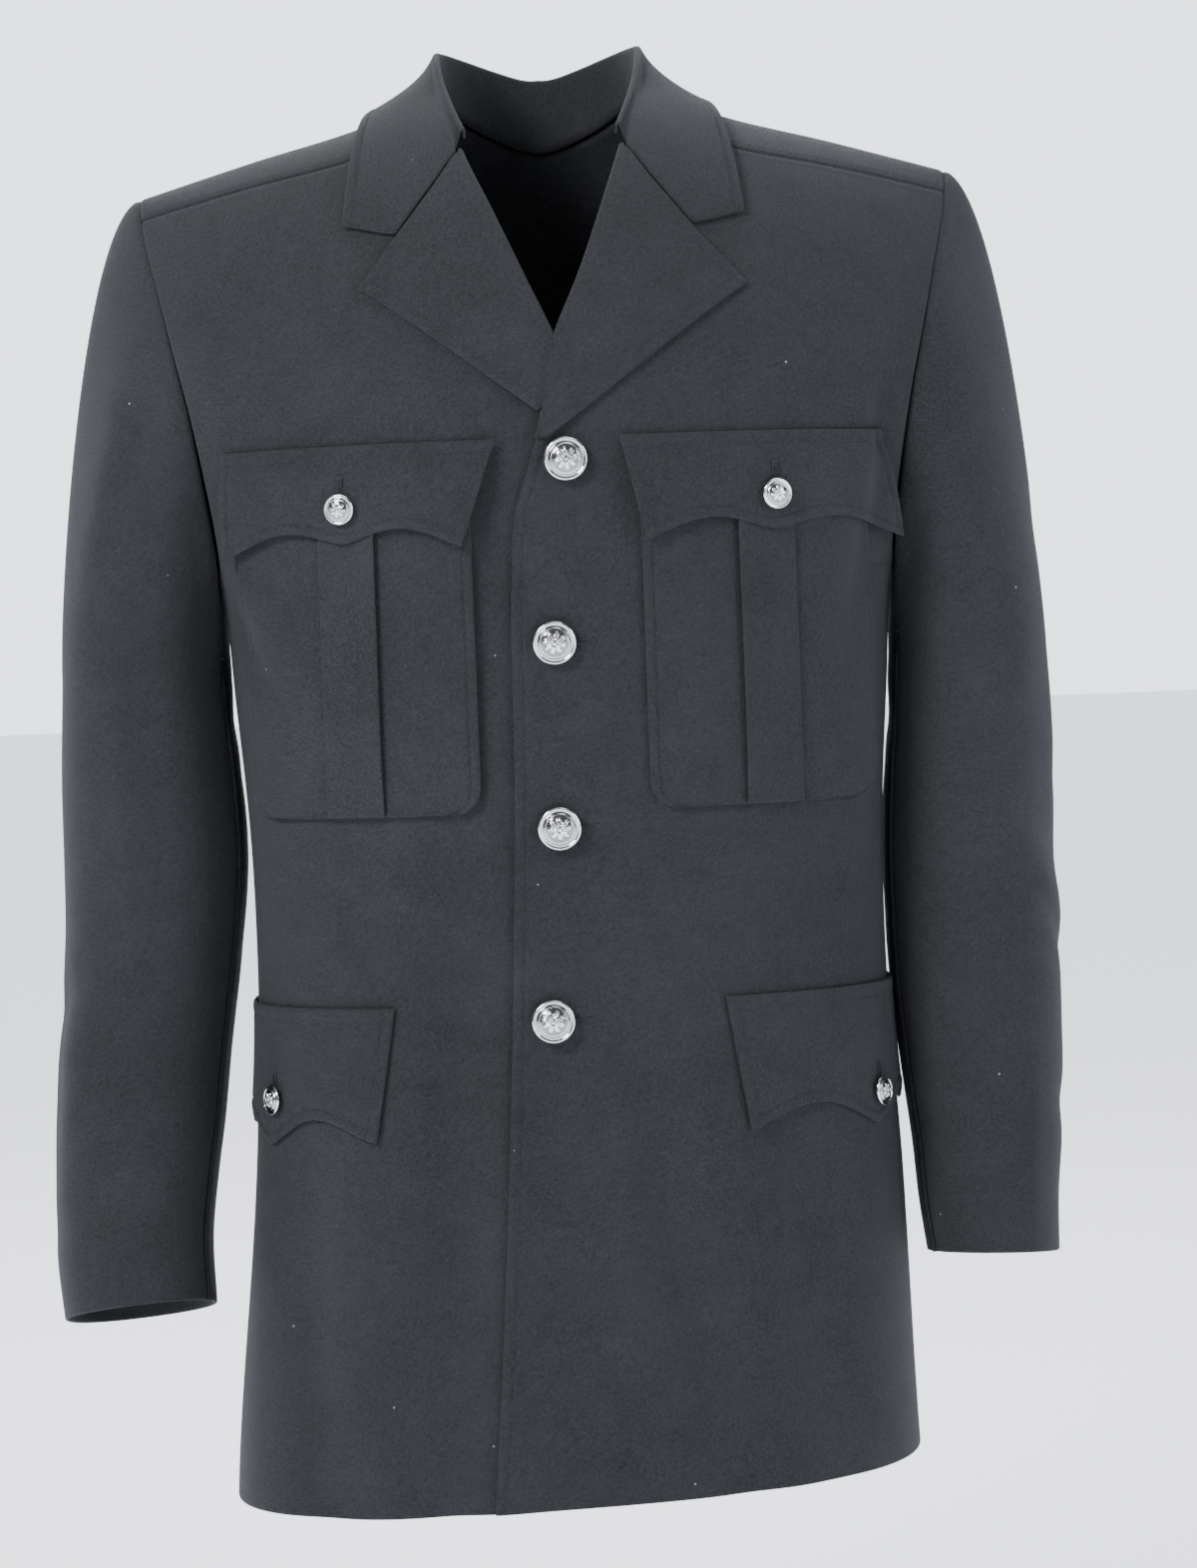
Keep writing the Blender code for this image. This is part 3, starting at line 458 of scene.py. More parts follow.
half_width = curve(BODY, "z", "half_width")
front_depth = curve(BODY, "z", "front")
back_depth = curve(BODY, "z", "back")
ridge = curve(SHOULDER_RIDGE, "x", "z")
armhole_x = curve(ARMHOLE, "z", "x")
seam_drop = curve(SHOULDER_SEAM_DROP, "x", "z")
left_edge = curve(FRONT_EDGE_LEFT, "z", "x")
right_edge = curve(FRONT_EDGE_RIGHT, "z", "x")
print("chest half width", round(float(half_width(-0.2)) / MM, 1), "mm")

# %% [markdown]
# A point of the cloth is given by its place in the front view, and the form says
# how far forward it lies. The direction straight out of the form comes from how a
# level function changes round the point, which also works where the side turns
# over from front to back.

# %% Surface of the form
def mix(a, b, share):
    return a + (b - a) * share


def ease(share):
    share = np.clip(share, 0, 1)
    return share * share * (3 - 2 * share)


def unit(vectors):
    return vectors / np.maximum(np.linalg.norm(vectors, axis=-1, keepdims=True), 1e-12)


def body_point(x, z, front):
    x, z = np.broadcast_arrays(np.asarray(x, float), np.asarray(z, float))
    depth = front_depth(z) if front else back_depth(z)
    rise = RISE_FRONT if front else RISE_BACK
    drop = np.clip((ridge(np.abs(x)) - z) / rise, 0, 1)
    oval = np.clip(1 - (np.abs(x) / half_width(z)) ** SQUARENESS, 0, None)
    y = depth * oval ** (1 / SQUARENESS) * np.sqrt(1 - (1 - drop) ** 2)
    return np.stack([x, -y if front else y, z], axis=-1)


def body_level(points):
    """Zero on the form's surface, and more outside it."""
    x, y, z = np.moveaxis(points, -1, 0)
    front = y < 0
    depth = np.where(front, front_depth(z), back_depth(z))
    rise = np.where(front, RISE_FRONT, RISE_BACK)
    height = (ridge(np.abs(x)) - z) / rise
    side = (np.abs(x) / half_width(z)) ** SQUARENESS
    below = side + (np.abs(y) / depth) ** SQUARENESS - 1
    oval = np.clip(1 - side, 0, None) ** (2 / SQUARENESS)
    above = (y / depth) ** 2 - oval * (1 - (1 - height) ** 2)
    return np.where(height >= 1, below, above)


def body_normal(points):
    probe = 0.3 * MM
    slope = []
    for axis in range(3):
        step = np.zeros(3)
        step[axis] = probe
        slope.append(body_level(points + step) - body_level(points - step))
    return unit(np.stack(slope, axis=-1))


def top_point(x, y):
    """The place on the round of the shoulders above a point of the plan."""
    x, y = np.broadcast_arrays(np.asarray(x, float), np.asarray(y, float))
    rise = np.where(y < 0, RISE_FRONT, RISE_BACK)
    z = ridge(np.abs(x))
    for _ in range(12):
        depth = np.where(y < 0, front_depth(z), back_depth(z))
        oval = np.clip(1 - (np.abs(x) / half_width(z)) ** SQUARENESS, 1e-6, None)
        share = np.minimum(0.999, np.abs(y) / (depth * oval ** (1 / SQUARENESS)))
        z = ridge(np.abs(x)) - rise * (1 - np.sqrt(1 - share * share))
    return np.stack([x, y, z], axis=-1)


sample = body_point(0.12, -0.21, True)
print("a chest point", sample.round(3), "faces", body_normal(sample[None])[0].round(2))

# %% [markdown]
# ## Drape
# Worn cloth is never as smooth as the form. The front pulls a little from each
# button, the skirt hangs in shallow waves and the waist buckles softly. A cloth
# simulation could make such folds, but placing them one by one keeps them where the
# photo shows them. Each one is a soft trough or ridge with its own place, lean,
# reach and depth, and everything that lies on a panel rides on the same folds.

# %% Folds of the body
Fold = namedtuple("Fold", "x z lean long wide depth")
FRONT_FOLDS = (
    Fold(-70, -560, 2, 190, 17, -2.4),
    Fold(-42, -600, 3, 170, 20, 1.8),
    Fold(-120, -640, -3, 120, 24, 1.6),
    Fold(-150, -650, -4, 110, 16, -1.8),
    Fold(60, -640, -14, 130, 16, -2.0),
    Fold(86, -600, -16, 130, 20, 1.6),
    Fold(128, -660, -6, 110, 18, -1.5),
    Fold(25, -560, -8, 90, 13, 1.0),
    Fold(62, -445, 62, 55, 14, -1.2),
    Fold(70, -430, 58, 60, 13, 1.1),
    Fold(-66, -452, -60, 50, 13, -1.1),
    Fold(-72, -436, -62, 56, 12, 0.9),
    Fold(30, -330, 74, 38, 9, -0.7),
    Fold(-28, -300, -70, 34, 9, -0.7),
    Fold(34, -392, 80, 40, 8, -0.6),
    Fold(-30, -398, -78, 36, 8, -0.6),
    Fold(28, -497, 70, 42, 9, -0.8),
    Fold(-36, -505, -66, 46, 10, -0.9),
    Fold(-28, -240, -30, 60, 12, -1.0),
    Fold(-186, -262, -28, 55, 9, -1.6),
    Fold(-172, -250, -30, 60, 10, 1.2),
    Fold(176, -200, 12, 60, 9, -1.6),
    Fold(163, -215, 14, 66, 10, 1.3),
    Fold(-150, -110, 24, 70, 20, -1.0),
    Fold(150, -100, -20, 64, 18, -0.9),
)
BACK_FOLDS = (
    Fold(0, -560, 0, 180, 20, -2.0),
    Fold(-52, -590, 4, 150, 22, 1.8),
    Fold(58, -600, -5, 160, 20, 1.6),
    Fold(-110, -620, 6, 130, 17, -1.9),
    Fold(116, -610, -7, 130, 18, -1.8),
    Fold(-60, -420, 78, 80, 11, -1.8),
    Fold(-48, -400, 80, 86, 12, 1.5),
    Fold(66, -432, -76, 76, 11, -1.7),
    Fold(52, -412, -80, 82, 12, 1.4),
    Fold(10, -375, 86, 70, 10, -1.0),
    Fold(-150, -190, 14, 80, 12, -2.0),
    Fold(-134, -195, 15, 84, 13, 1.6),
    Fold(152, -185, -12, 84, 12, -2.0),
    Fold(136, -190, -13, 84, 13, 1.6),
    Fold(-90, -60, 62, 60, 13, -0.8),
    Fold(90, -62, -60, 60, 13, -0.8),
)
Dart = namedtuple("Dart", "top_x top_z foot_x foot_z")
DARTS = (Dart(-121, -372, -123, -500), Dart(110, -372, 108, -500))
DART_DEPTH = 0.9 * MM
DART_WIDE = 1.1 * MM
EDGE_CALM = 24 * MM
FOLD_STRENGTH = 3.0
SWING_TOP = -562 * MM
SWING_HALF = 190 * MM
SWING_OUT = 3.5 * MM
SWING_MIDDLE = 6.5 * MM
HEM_DROP = 7 * MM
HEM_TILT = 7.5 * MM


def fold_sum(folds, x, z):
    total = np.zeros(np.broadcast(x, z).shape)
    for fold in folds:
        turn = math.radians(fold.lean)
        dx, dz = x / MM - fold.x, z / MM - fold.z
        along = dz * math.cos(turn) + dx * math.sin(turn)
        across = dx * math.cos(turn) - dz * math.sin(turn)
        total += fold.depth * np.exp(-((along / fold.long) ** 2) - (across / fold.wide) ** 2)
    return total * FOLD_STRENGTH * MM


def panel_reach(z):
    """How far a panel goes round to its side seam or armhole."""
    return np.where(z > UNDERARM_Z, armhole_x(z), half_width(z))


def dart_groove(x, z):
    total = np.zeros(np.broadcast(x, z).shape)
    for dart in DARTS:
        share = (z / MM - dart.top_z) / (dart.foot_z - dart.top_z)
        line = mix(dart.top_x, dart.foot_x, share) * MM
        reach = ease(share * 8) * ease((1 - share) * 8)
        total -= DART_DEPTH * reach * np.exp(-(((x - line) / DART_WIDE) ** 2))
    return total


def drape(x, z, front):
    """How far the folds carry the cloth out of the form; x counts to the wearer's left."""
    calm = ease((panel_reach(z) - np.abs(x)) / EDGE_CALM)
    calm = calm * ease((ridge(np.abs(x)) - seam_drop(np.abs(x)) - z) / EDGE_CALM)
    return calm * fold_sum(FRONT_FOLDS if front else BACK_FOLDS, x, z)


def cloth_point(x, z, height, sign, front=True):
    """A point above the draped cloth. Places count from the middle to one side, and sign
    says which: 1 is the wearer's left."""
    base = body_point(x, z, front)
    normal = body_normal(base)
    point = base + normal * (height + drape(sign * base[..., 0], base[..., 2], front))[..., None]
    flip = np.array([sign, 1, 1])
    return point * flip, normal * flip


def swung(points):
    """The skirt swings out and hangs lower on the wearer's right."""
    share = ease((SWING_TOP - points[..., 2]) / (SWING_TOP - HEM_Z))
    side = points[..., 0] / SWING_HALF
    out = SWING_OUT * side - SWING_MIDDLE * side * side
    down = HEM_DROP - HEM_TILT * side
    return points + np.stack([share * out, np.zeros_like(share), -share * down], axis=-1)


across = np.linspace(-0.15, 0.15, 60)
low_waves = drape(across, np.full(60, -0.7), True)
print("skirt waves near the hem:", round(float(np.ptp(low_waves)) / MM, 1), "mm deep")

# %% [markdown]
# ## Edges and shells
# Every piece is a closed wall between two grids of points. Free edges are turned
# under and pressed, so they round over. Sewn edges sink into the seam. A row of
# topstitching draws the cloth down along its line and leaves a plump rim outside
# it. Columns and rows sit close together only there, which keeps the mesh light.

# %% Walls of cloth
FREE_STEPS = (0, 0.12, 0.4, 0.9, 1.6)
SEWN_STEPS = (0, 0.5, 1.1, 2.0, 3.2)
STITCHED_STEPS = (0, 0.12, 0.4, 0.9, 2.0, 3.6, 5.0, 5.6, 6.1, 6.6, 7.2, 8.6)
EDGE_ROUND = 1.1 * MM
SEAM_DIP = 0.8 * MM
SEAM_WIDE = 1.2 * MM
STITCH_INSET = 6.1 * MM
STITCH_DIP = 0.45 * MM
STITCH_WIDE = 0.8 * MM
RIM_PLUMP = 0.35 * MM
PUCKER = 0.12 * MM
PUCKER_PITCH = 11 * MM


def spaced(count, length, first=FREE_STEPS, last=FREE_STEPS):
    """Places along a length, close together near each end."""
    length = np.asarray(length, float)[..., None]
    start = np.broadcast_to(np.array(first) * MM, length.shape[:-1] + (len(first),))
    end = length - np.array(last[::-1]) * MM
    middle = mix(start[..., -1:], end[..., :1], np.linspace(0, 1, count + 2)[1:-1])
    return np.concatenate([start, middle, end], axis=-1)


def distances(points):
    """How far each point is, along the cloth, from the four edges of its grid."""
    across = np.cumsum(np.linalg.norm(np.diff(points, axis=1), axis=-1), axis=1)
    along = np.cumsum(np.linalg.norm(np.diff(points, axis=0), axis=-1), axis=0)
    west = np.concatenate([np.zeros((len(points), 1)), across], axis=1)
    south = np.concatenate([np.zeros((1, points.shape[1])), along], axis=0)
    return {"west": west, "east": west[:, -1:] - west, "south": south, "north": south[-1:] - south}


def edge_form(low, high, reach, free=(), sewn=(), rows=()):
    """Heights of the two faces with the edges rounded, sewn in and topstitched."""
    high = high + np.zeros_like(reach["west"])
    low = low + np.zeros_like(high)
    other = {"west": "south", "east": "south", "south": "west", "north": "west"}
    for side, inset in rows:
        away, way = reach[side], reach[other[side]]
        ripple = np.sin(way / PUCKER_PITCH * 2 * math.pi + 1.7 * np.sin(way / (23 * MM)))
        high = high + RIM_PLUMP * np.exp(-(((away - inset * 0.5) / (inset * 0.4)) ** 2))
        high = high - STITCH_DIP * np.exp(-(((away - inset) / STITCH_WIDE) ** 2))
        high = high + PUCKER * ripple * np.exp(-(((away - inset) / (inset * 0.8)) ** 2))
    for side in sewn:
        high = high - SEAM_DIP * np.exp(-((reach[side] / SEAM_WIDE) ** 2))
    for side in free:
        share = np.clip(reach[side] / EDGE_ROUND, 0.015, 1)
        plump = np.sqrt(1 - (1 - share) ** 2)
        middle, half = (low + high) / 2, (high - low) / 2 * plump
        low, high = middle - half, middle + half
    return low, high


def shell_faces(outer, inner):
    """Points and faces of the wall between two grids. Cells with a missing corner are open."""
    rows, columns = outer.shape[:2]
    whole = ~np.isnan(outer[..., 0])
    cell = whole[:-1, :-1] & whole[1:, :-1] & whole[:-1, 1:] & whole[1:, 1:]
    r, c = np.nonzero(cell)
    a = r * columns + c
    quads = np.stack([a, a + 1, a + columns + 1, a + columns], axis=1)
    count = rows * columns
    edges = np.concatenate([quads[:, [i, (i + 1) % 4]] for i in range(4)])
    keys = edges[:, 0] * count + edges[:, 1]
    rim = edges[~np.isin(keys, edges[:, 1] * count + edges[:, 0])]
    sides = np.stack([rim[:, 1], rim[:, 0], rim[:, 0] + count, rim[:, 1] + count], axis=1)
    faces = np.concatenate([quads, quads[:, ::-1] + count, sides])
    points = np.concatenate([outer.reshape(-1, 3), inner.reshape(-1, 3)])
    used = np.unique(faces)
    renumber = np.zeros(len(points), int)
    renumber[used] = np.arange(len(used))
    return points[used], renumber[faces]


def make_object(name, shells, material):
    """One object from several walls, with all of their faces turned outwards."""
    points, faces, first = [], [], 0
    for shell_points, shell_quads in shells:
        points.append(shell_points)
        faces += (shell_quads + first).tolist()
        first += len(shell_points)
    mesh = bpy.data.meshes.new(name)
    mesh.from_pydata(np.concatenate(points).tolist(), [], faces)
    work = bmesh.new()
    work.from_mesh(mesh)
    bmesh.ops.recalc_face_normals(work, faces=work.faces)
    work.to_mesh(mesh)
    work.free()
    mesh.shade_smooth()
    mesh.materials.append(material)
    obj = bpy.data.objects.new(name, mesh)
    bpy.context.scene.collection.objects.link(obj)
    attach(obj, "root")
    return obj


def cloth_piece(node, shells):
    """A dressed panel in place of its plain wall."""
    obj = make_object(node + "_serge", shells, SERGE)
    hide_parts(node)
    return obj

# %% [markdown]
# ## Topstitching
# Topstitching is a row of short threads that dip into the cloth at each end. A
# texture would vanish at a slant, so every stitch is a small bar of thread with
# tapered ends, laid along a line on the cloth. All bars of a piece share one mesh.

# %% Thread bars
STITCH_PITCH = 3.0 * MM
STITCH_LENGTH = 2.3 * MM
STITCH_RADIUS = 0.24 * MM
BAR_SECTIONS = ((-0.5, 0.25), (-0.3, 0.9), (0.3, 0.9), (0.5, 0.25))
BAR_SIDES = 5


def bars(places, along, normals, length, radius):
    """One wall of points and faces for many thread bars."""
    along = unit(along)
    side = unit(np.cross(normals, along))
    rings = []
    for share, girth in BAR_SECTIONS:
        for k in range(BAR_SIDES):
            turn = 2 * math.pi * k / BAR_SIDES
            offset = (side * math.cos(turn) + normals * math.sin(turn)) * radius * girth
            rings.append(places + along * length * share + offset)
    points = np.stack(rings, axis=1)
    count = len(BAR_SECTIONS) * BAR_SIDES
    quads = []
    for ring in range(len(BAR_SECTIONS) - 1):
        for k in range(BAR_SIDES):
            a = ring * BAR_SIDES + k
            b = ring * BAR_SIDES + (k + 1) % BAR_SIDES
            quads.append((a, b, b + BAR_SIDES, a + BAR_SIDES))
    quads = np.array(quads)
    faces = (quads[None] + (np.arange(len(places)) * count)[:, None, None]).reshape(-1, 4)
    return points.reshape(-1, 3), faces


def resample(path, pitch):
    """Even places along a path of points with the direction of the path at each."""
    steps = np.linalg.norm(np.diff(path[:, :3], axis=0), axis=1)
    walked = np.concatenate([[0], np.cumsum(steps)])
    count = max(2, int(walked[-1] / pitch))
    at = (np.arange(count) + 0.5) * walked[-1] / count
    places = np.stack([np.interp(at, walked, path[:, i]) for i in range(path.shape[1])], axis=1)
    ahead = np.stack([np.interp(at + pitch / 4, walked, path[:, i]) for i in range(3)], axis=1)
    behind = np.stack([np.interp(at - pitch / 4, walked, path[:, i]) for i in range(3)], axis=1)
    return places, ahead - behind


def stitch_row(path, normals):
    """Bars of topstitching along a path on the cloth."""
    both, along = resample(np.concatenate([path, normals], axis=1), STITCH_PITCH)
    return bars(both[:, :3], along, unit(both[:, 3:]), STITCH_LENGTH, STITCH_RADIUS)


def row_inside(outer, side, inset, trim_start=0.0, trim_end=0.0):
    """The path on a grid at a distance inside one of its edges, with normals."""
    views = {
        "west": outer.transpose(1, 0, 2),
        "east": outer[:, ::-1].transpose(1, 0, 2),
        "south": outer,
        "north": outer[::-1],
    }
    grid = views[side]
    steps = np.cumsum(np.linalg.norm(np.diff(grid, axis=0), axis=-1), axis=0)
    walked = np.concatenate([np.zeros((1, grid.shape[1])), steps], axis=0)
    path, normals = [], []
    for c in range(grid.shape[1]):
        at = min(inset, walked[-1, c] * 0.98)
        i = min(int(np.searchsorted(walked[:, c], at, side="right")), len(grid) - 1)
        share = (at - walked[i - 1, c]) / max(walked[i, c] - walked[i - 1, c], 1e-9)
        path.append(mix(grid[i - 1, c], grid[i, c], share))
        before, after = grid[i - 1, max(c - 1, 0)], grid[i - 1, min(c + 1, grid.shape[1] - 1)]
        normals.append(np.cross(grid[i, c] - grid[i - 1, c], after - before))
    path, normals = np.array(path), unit(np.array(normals))
    base = body_normal(path)
    if np.sum(normals * base) < 0:
        normals = -normals
    gone = np.concatenate([[0], np.cumsum(np.linalg.norm(np.diff(path, axis=0), axis=1))])
    keep = (gone >= trim_start) & (gone <= gone[-1] - trim_end)
    return path[keep], normals[keep]


def thread_piece(name, rows):
    obj = make_object(name + "_thread", rows, THREAD)
    return obj


print("a stitch is", STITCH_LENGTH / MM, "mm of thread,", STITCH_PITCH / MM, "mm apart")

# %% [markdown]
# ## The two fronts
# Each front runs from the button edge round to the side seam, and from the hem to
# a seam that lies forward of the shoulder's ridge. The wearer's left front laps
# over the right one, which is therefore sunk by the thickness of the cloth.

# %% Rows of a front
SIDE_TURN = 0.0012
FRONT_COLUMNS = 62
SKIRT_COUNT = 78
CHEST_COUNT = 50
CHEST_LENGTH = 232 * MM
LAPEL_ROLL_IN = 2.2 * MM


def turn_of(x, z):
    share = np.clip(x / half_width(z), -1, 1)
    return np.arccos(np.sign(share) * np.abs(share) ** (SQUARENESS / 2))


def row_x(turn, level):
    x = np.zeros_like(turn)
    for _ in range(10):
        reach = np.abs(np.cos(turn)) ** (2 / SQUARENESS)
        x = np.sign(np.cos(turn)) * half_width(level(x)) * reach
    return x


def settle(find_x, level):
    x = 0.0
    for _ in range(10):
        x = float(find_x(level(x)))
    return x


def even_row(level, start, end, front, first, last, count):
    """Points along a row of the form at even distances, closer together at its ends."""
    turns = np.linspace(start, end, 260)
    dense = body_point(row_x(turns, level), level(row_x(turns, level)), front)
    walked = np.concatenate([[0], np.cumsum(np.linalg.norm(np.diff(dense, axis=0), axis=1))])
    places = spaced(count, walked[-1], first, last)
    x = row_x(np.interp(places, walked, turns), level)
    return body_point(x, level(x) + np.zeros_like(x), front)


def chest_level(share):
    def read(x):
        return mix(UNDERARM_Z, ridge(np.abs(x)) - seam_drop(np.abs(x)), share)

    return read


def skirt_level(z):
    return lambda x: z + np.zeros_like(x)


def front_grid(free_edge):
    """Points of a front on the wearer's left, hem to shoulder, button edge to side."""
    rows = []
    for z in HEM_Z + spaced(SKIRT_COUNT, UNDERARM_Z - HEM_Z, STITCHED_STEPS[:5], (0,)):
        rows.append((skirt_level(z), False))
    for share in spaced(CHEST_COUNT, CHEST_LENGTH, (2.0,), SEWN_STEPS) / CHEST_LENGTH:
        rows.append((chest_level(share), True))
    grid = []
    for level, above in rows:
        inner_x = settle(free_edge, level)
        start = float(turn_of(inner_x, level(inner_x)))
        end = SIDE_TURN
        if above:
            outer_x = settle(armhole_x, level)
            end = float(turn_of(outer_x, level(outer_x)))
        grid.append(even_row(level, start, end, True, STITCHED_STEPS, SEWN_STEPS, FRONT_COLUMNS))
    return np.array(grid)


def trimmed_edge(edge, top_z):
    """The free edge, drawn back a little where the lapel rolls over it."""
    return lambda z: edge(z) + LAPEL_ROLL_IN * ease((z - top_z) / (18 * MM))


left_grid = front_grid(trimmed_edge(left_edge, -172 * MM))
right_grid = front_grid(trimmed_edge(right_edge, -150 * MM))
print("front grid:", left_grid.shape[0], "rows of", left_grid.shape[1], "points")

# %% Dress the fronts
def front_piece(side, grid):
    sign = 1 if side == "left" else -1
    flip = np.array([sign, 1, 1])
    normal = body_normal(grid)
    x, z = grid[..., 0], grid[..., 2]
    reach = distances(grid)
    sunk = np.zeros_like(x)
    if side == "right":
        past = x + left_edge(z)
        sunk = mix(CLOTH + UNDER_GAP, 0, ease((past - UNDER_FLAT) / UNDER_BLEND))
    low, high = edge_form(
        -CLOTH - sunk, -sunk, reach,
        free=("west", "south"), sewn=("east", "north"), rows=[("west", STITCH_INSET)],
    )
    fold = drape(sign * x, z, True)
    high = high + fold + dart_groove(sign * x, z)
    low = low + fold
    outer = swung((grid + normal * high[..., None]) * flip)
    inner = swung((grid + normal * low[..., None]) * flip)
    path, normals = row_inside(outer, "west", STITCH_INSET)
    below = path[:, 2] < (-0.176 if side == "left" else -0.9)
    seam = row_inside(outer, "north", 5.5 * MM, 46 * MM, 3 * MM)
    rows = [stitch_row(*seam)]
    if below.any():
        rows.append(stitch_row(path[below], normals[below]))
    threads = thread_piece("front_" + side, rows)
    return cloth_piece("front_" + side, [shell_faces(outer, inner)])


front_left = front_piece("left", left_grid)
front_right = front_piece("right", right_grid)

# %% [markdown]
# ## The back
# The back is one panel. Over the shoulders it runs forward past the ridge, so the
# seam lies where the photo shows it, and no seam sits on top where a strap would
# rub. Between the two strips the neck is cut out. Half of the panel is worked out
# and the other half is its mirror, but the folds differ from side to side.

# %% Rows of the back
NECK_HALF = 60 * MM
NECK_BACK = 72 * MM
NECK_FRONT = 120 * MM
NECK_STEP = 15
NECK_COLUMN = 5
BACK_COLUMNS = 11
COLUMN_WIDTH = 30 * MM
OVER_COUNT = 9
OVER_LENGTH = 84 * MM


def neck_plan(turn):
    """The neck seam in plan, from the middle back at 0 round the wearer's left side."""
    reach = np.where(turn <= 90, NECK_BACK, NECK_FRONT)
    return NECK_HALF * np.sin(np.radians(turn)), reach * np.cos(np.radians(turn))


def neck_seam(turn):
    return top_point(*neck_plan(turn))


def over_point(column, share):
    """The strip that runs over the shoulder to the forward seam."""
    x = np.full(np.broadcast(column, share).shape, NECK_HALF)
    for _ in range(10):
        drop = seam_drop(x) - SEAM_GAP
        angle = np.arccos(1 - drop / RISE_FRONT) * share
        z = ridge(x) - RISE_FRONT * (1 - np.cos(angle))
        oval = np.clip(1 - (x / half_width(z)) ** SQUARENESS, 0, None)
        y = front_depth(z) * oval ** (1 / SQUARENESS) * np.sin(angle)
        neck_x = NECK_HALF * np.sqrt(1 - (y / NECK_FRONT) ** 2)
        x = mix(armhole_x(z), neck_x, column / NECK_COLUMN)
    return body_point(x, z, True)


def back_half():
    """Half of the back, each row from the side or armhole to the middle."""
    edge_columns = np.array(SEWN_STEPS) * MM / COLUMN_WIDTH
    columns = np.concatenate([edge_columns, np.linspace(0.2, BACK_COLUMNS, 66)])
    columns = np.sort(np.unique(np.concatenate([columns, [NECK_COLUMN]])))
    neck = neck_seam(90 - NECK_STEP * np.clip(columns - NECK_COLUMN, 0, None))
    strip = columns <= NECK_COLUMN
    grid = []
    for z in HEM_Z + spaced(SKIRT_COUNT, UNDERARM_Z - HEM_Z, FREE_STEPS, (0,)):
        level = skirt_level(z)
        x = row_x(mix(SIDE_TURN, math.pi / 2, columns / BACK_COLUMNS), level)
        x[-1] = 0
        grid.append(body_point(x, level(x), False))
    for share in spaced(CHEST_COUNT + 8, CHEST_LENGTH, (2.0,), (0,)) / CHEST_LENGTH:
        arm_x = settle(armhole_x, lambda x: mix(UNDERARM_Z, ridge(abs(x)), share))
        arm_z = float(mix(UNDERARM_Z, ridge(arm_x), share))
        start = float(turn_of(arm_x, arm_z))
        spread = row_x(mix(start, math.pi / 2, columns / BACK_COLUMNS), skirt_level(arm_z))
        top_x = np.where(strip, mix(arm_x, NECK_HALF, columns / NECK_COLUMN), neck[:, 0])
        x = mix(spread, top_x, ease(share * 1.6))
        x[-1] = 0
        z = mix(UNDERARM_Z, np.where(strip, ridge(x), neck[:, 2]), share)
        grid.append(body_point(x, z, False))
    for share in spaced(OVER_COUNT, OVER_LENGTH, (4.0,), SEWN_STEPS) / OVER_LENGTH:
        row = over_point(columns, share)
        row[~strip] = np.nan
        grid.append(row)
    return np.array(grid), strip


back_grid, over_strip = back_half()
print("back half:", back_grid.shape[0], "rows of", back_grid.shape[1], "points")

# %% Dress the back
def over_seam_reach(grid):
    """Distance from the forward shoulder seam, and a long way for the columns without one."""
    steps = np.linalg.norm(np.diff(grid, axis=0), axis=-1)
    climbed = np.concatenate([np.zeros((1, grid.shape[1])), np.cumsum(np.nan_to_num(steps), axis=0)])
    reach = climbed[-1:] - climbed
    reach[:, ~over_strip] = 1.0
    return reach


def back_piece():
    front_side = back_grid[..., 1] < 0
    normal = body_normal(np.nan_to_num(back_grid))
    reach = distances(np.nan_to_num(back_grid))
    reach["north"] = over_seam_reach(back_grid)
    low, high = edge_form(
        -CLOTH, 0, reach, free=("south",), sewn=("west", "north"), rows=[],
    )
    flip = np.array([-1, 1, 1])
    points = np.concatenate([back_grid, back_grid[:, -2::-1] * flip], axis=1)
    normals = np.concatenate([normal, normal[:, -2::-1] * flip], axis=1)
    lows = np.concatenate([low, low[:, -2::-1]], axis=1)
    highs = np.concatenate([high, high[:, -2::-1]], axis=1)
    front_side = np.concatenate([front_side, front_side[:, -2::-1]], axis=1)
    fold = np.nan_to_num(drape(points[..., 0], points[..., 2], False))
    fold = np.where(front_side, 0, fold)
    outer = swung(points + normals * (highs + fold)[..., None])
    inner = swung(points + normals * (lows + fold)[..., None])
    count = int(over_strip.sum())
    rows = []
    for strip in (outer[:, :count], outer[:, -count:]):
        path, facing = row_inside(strip, "north", 5.5 * MM, 3 * MM, 3 * MM)
        rows.append(stitch_row(path, facing))
    threads = thread_piece("back", rows)
    return cloth_piece("back", [shell_faces(outer, inner)])


back = back_piece()

# %% [markdown]
# ## The sleeves
# A two-piece sleeve hangs from a crown that stands a little proud of the armhole.
# The first ring follows the armhole itself, the crown swings over to the biceps
# ring, and the rings below narrow, bend forward at the elbow and end at the cuff.
# The seams run down the front and the back of the arm.

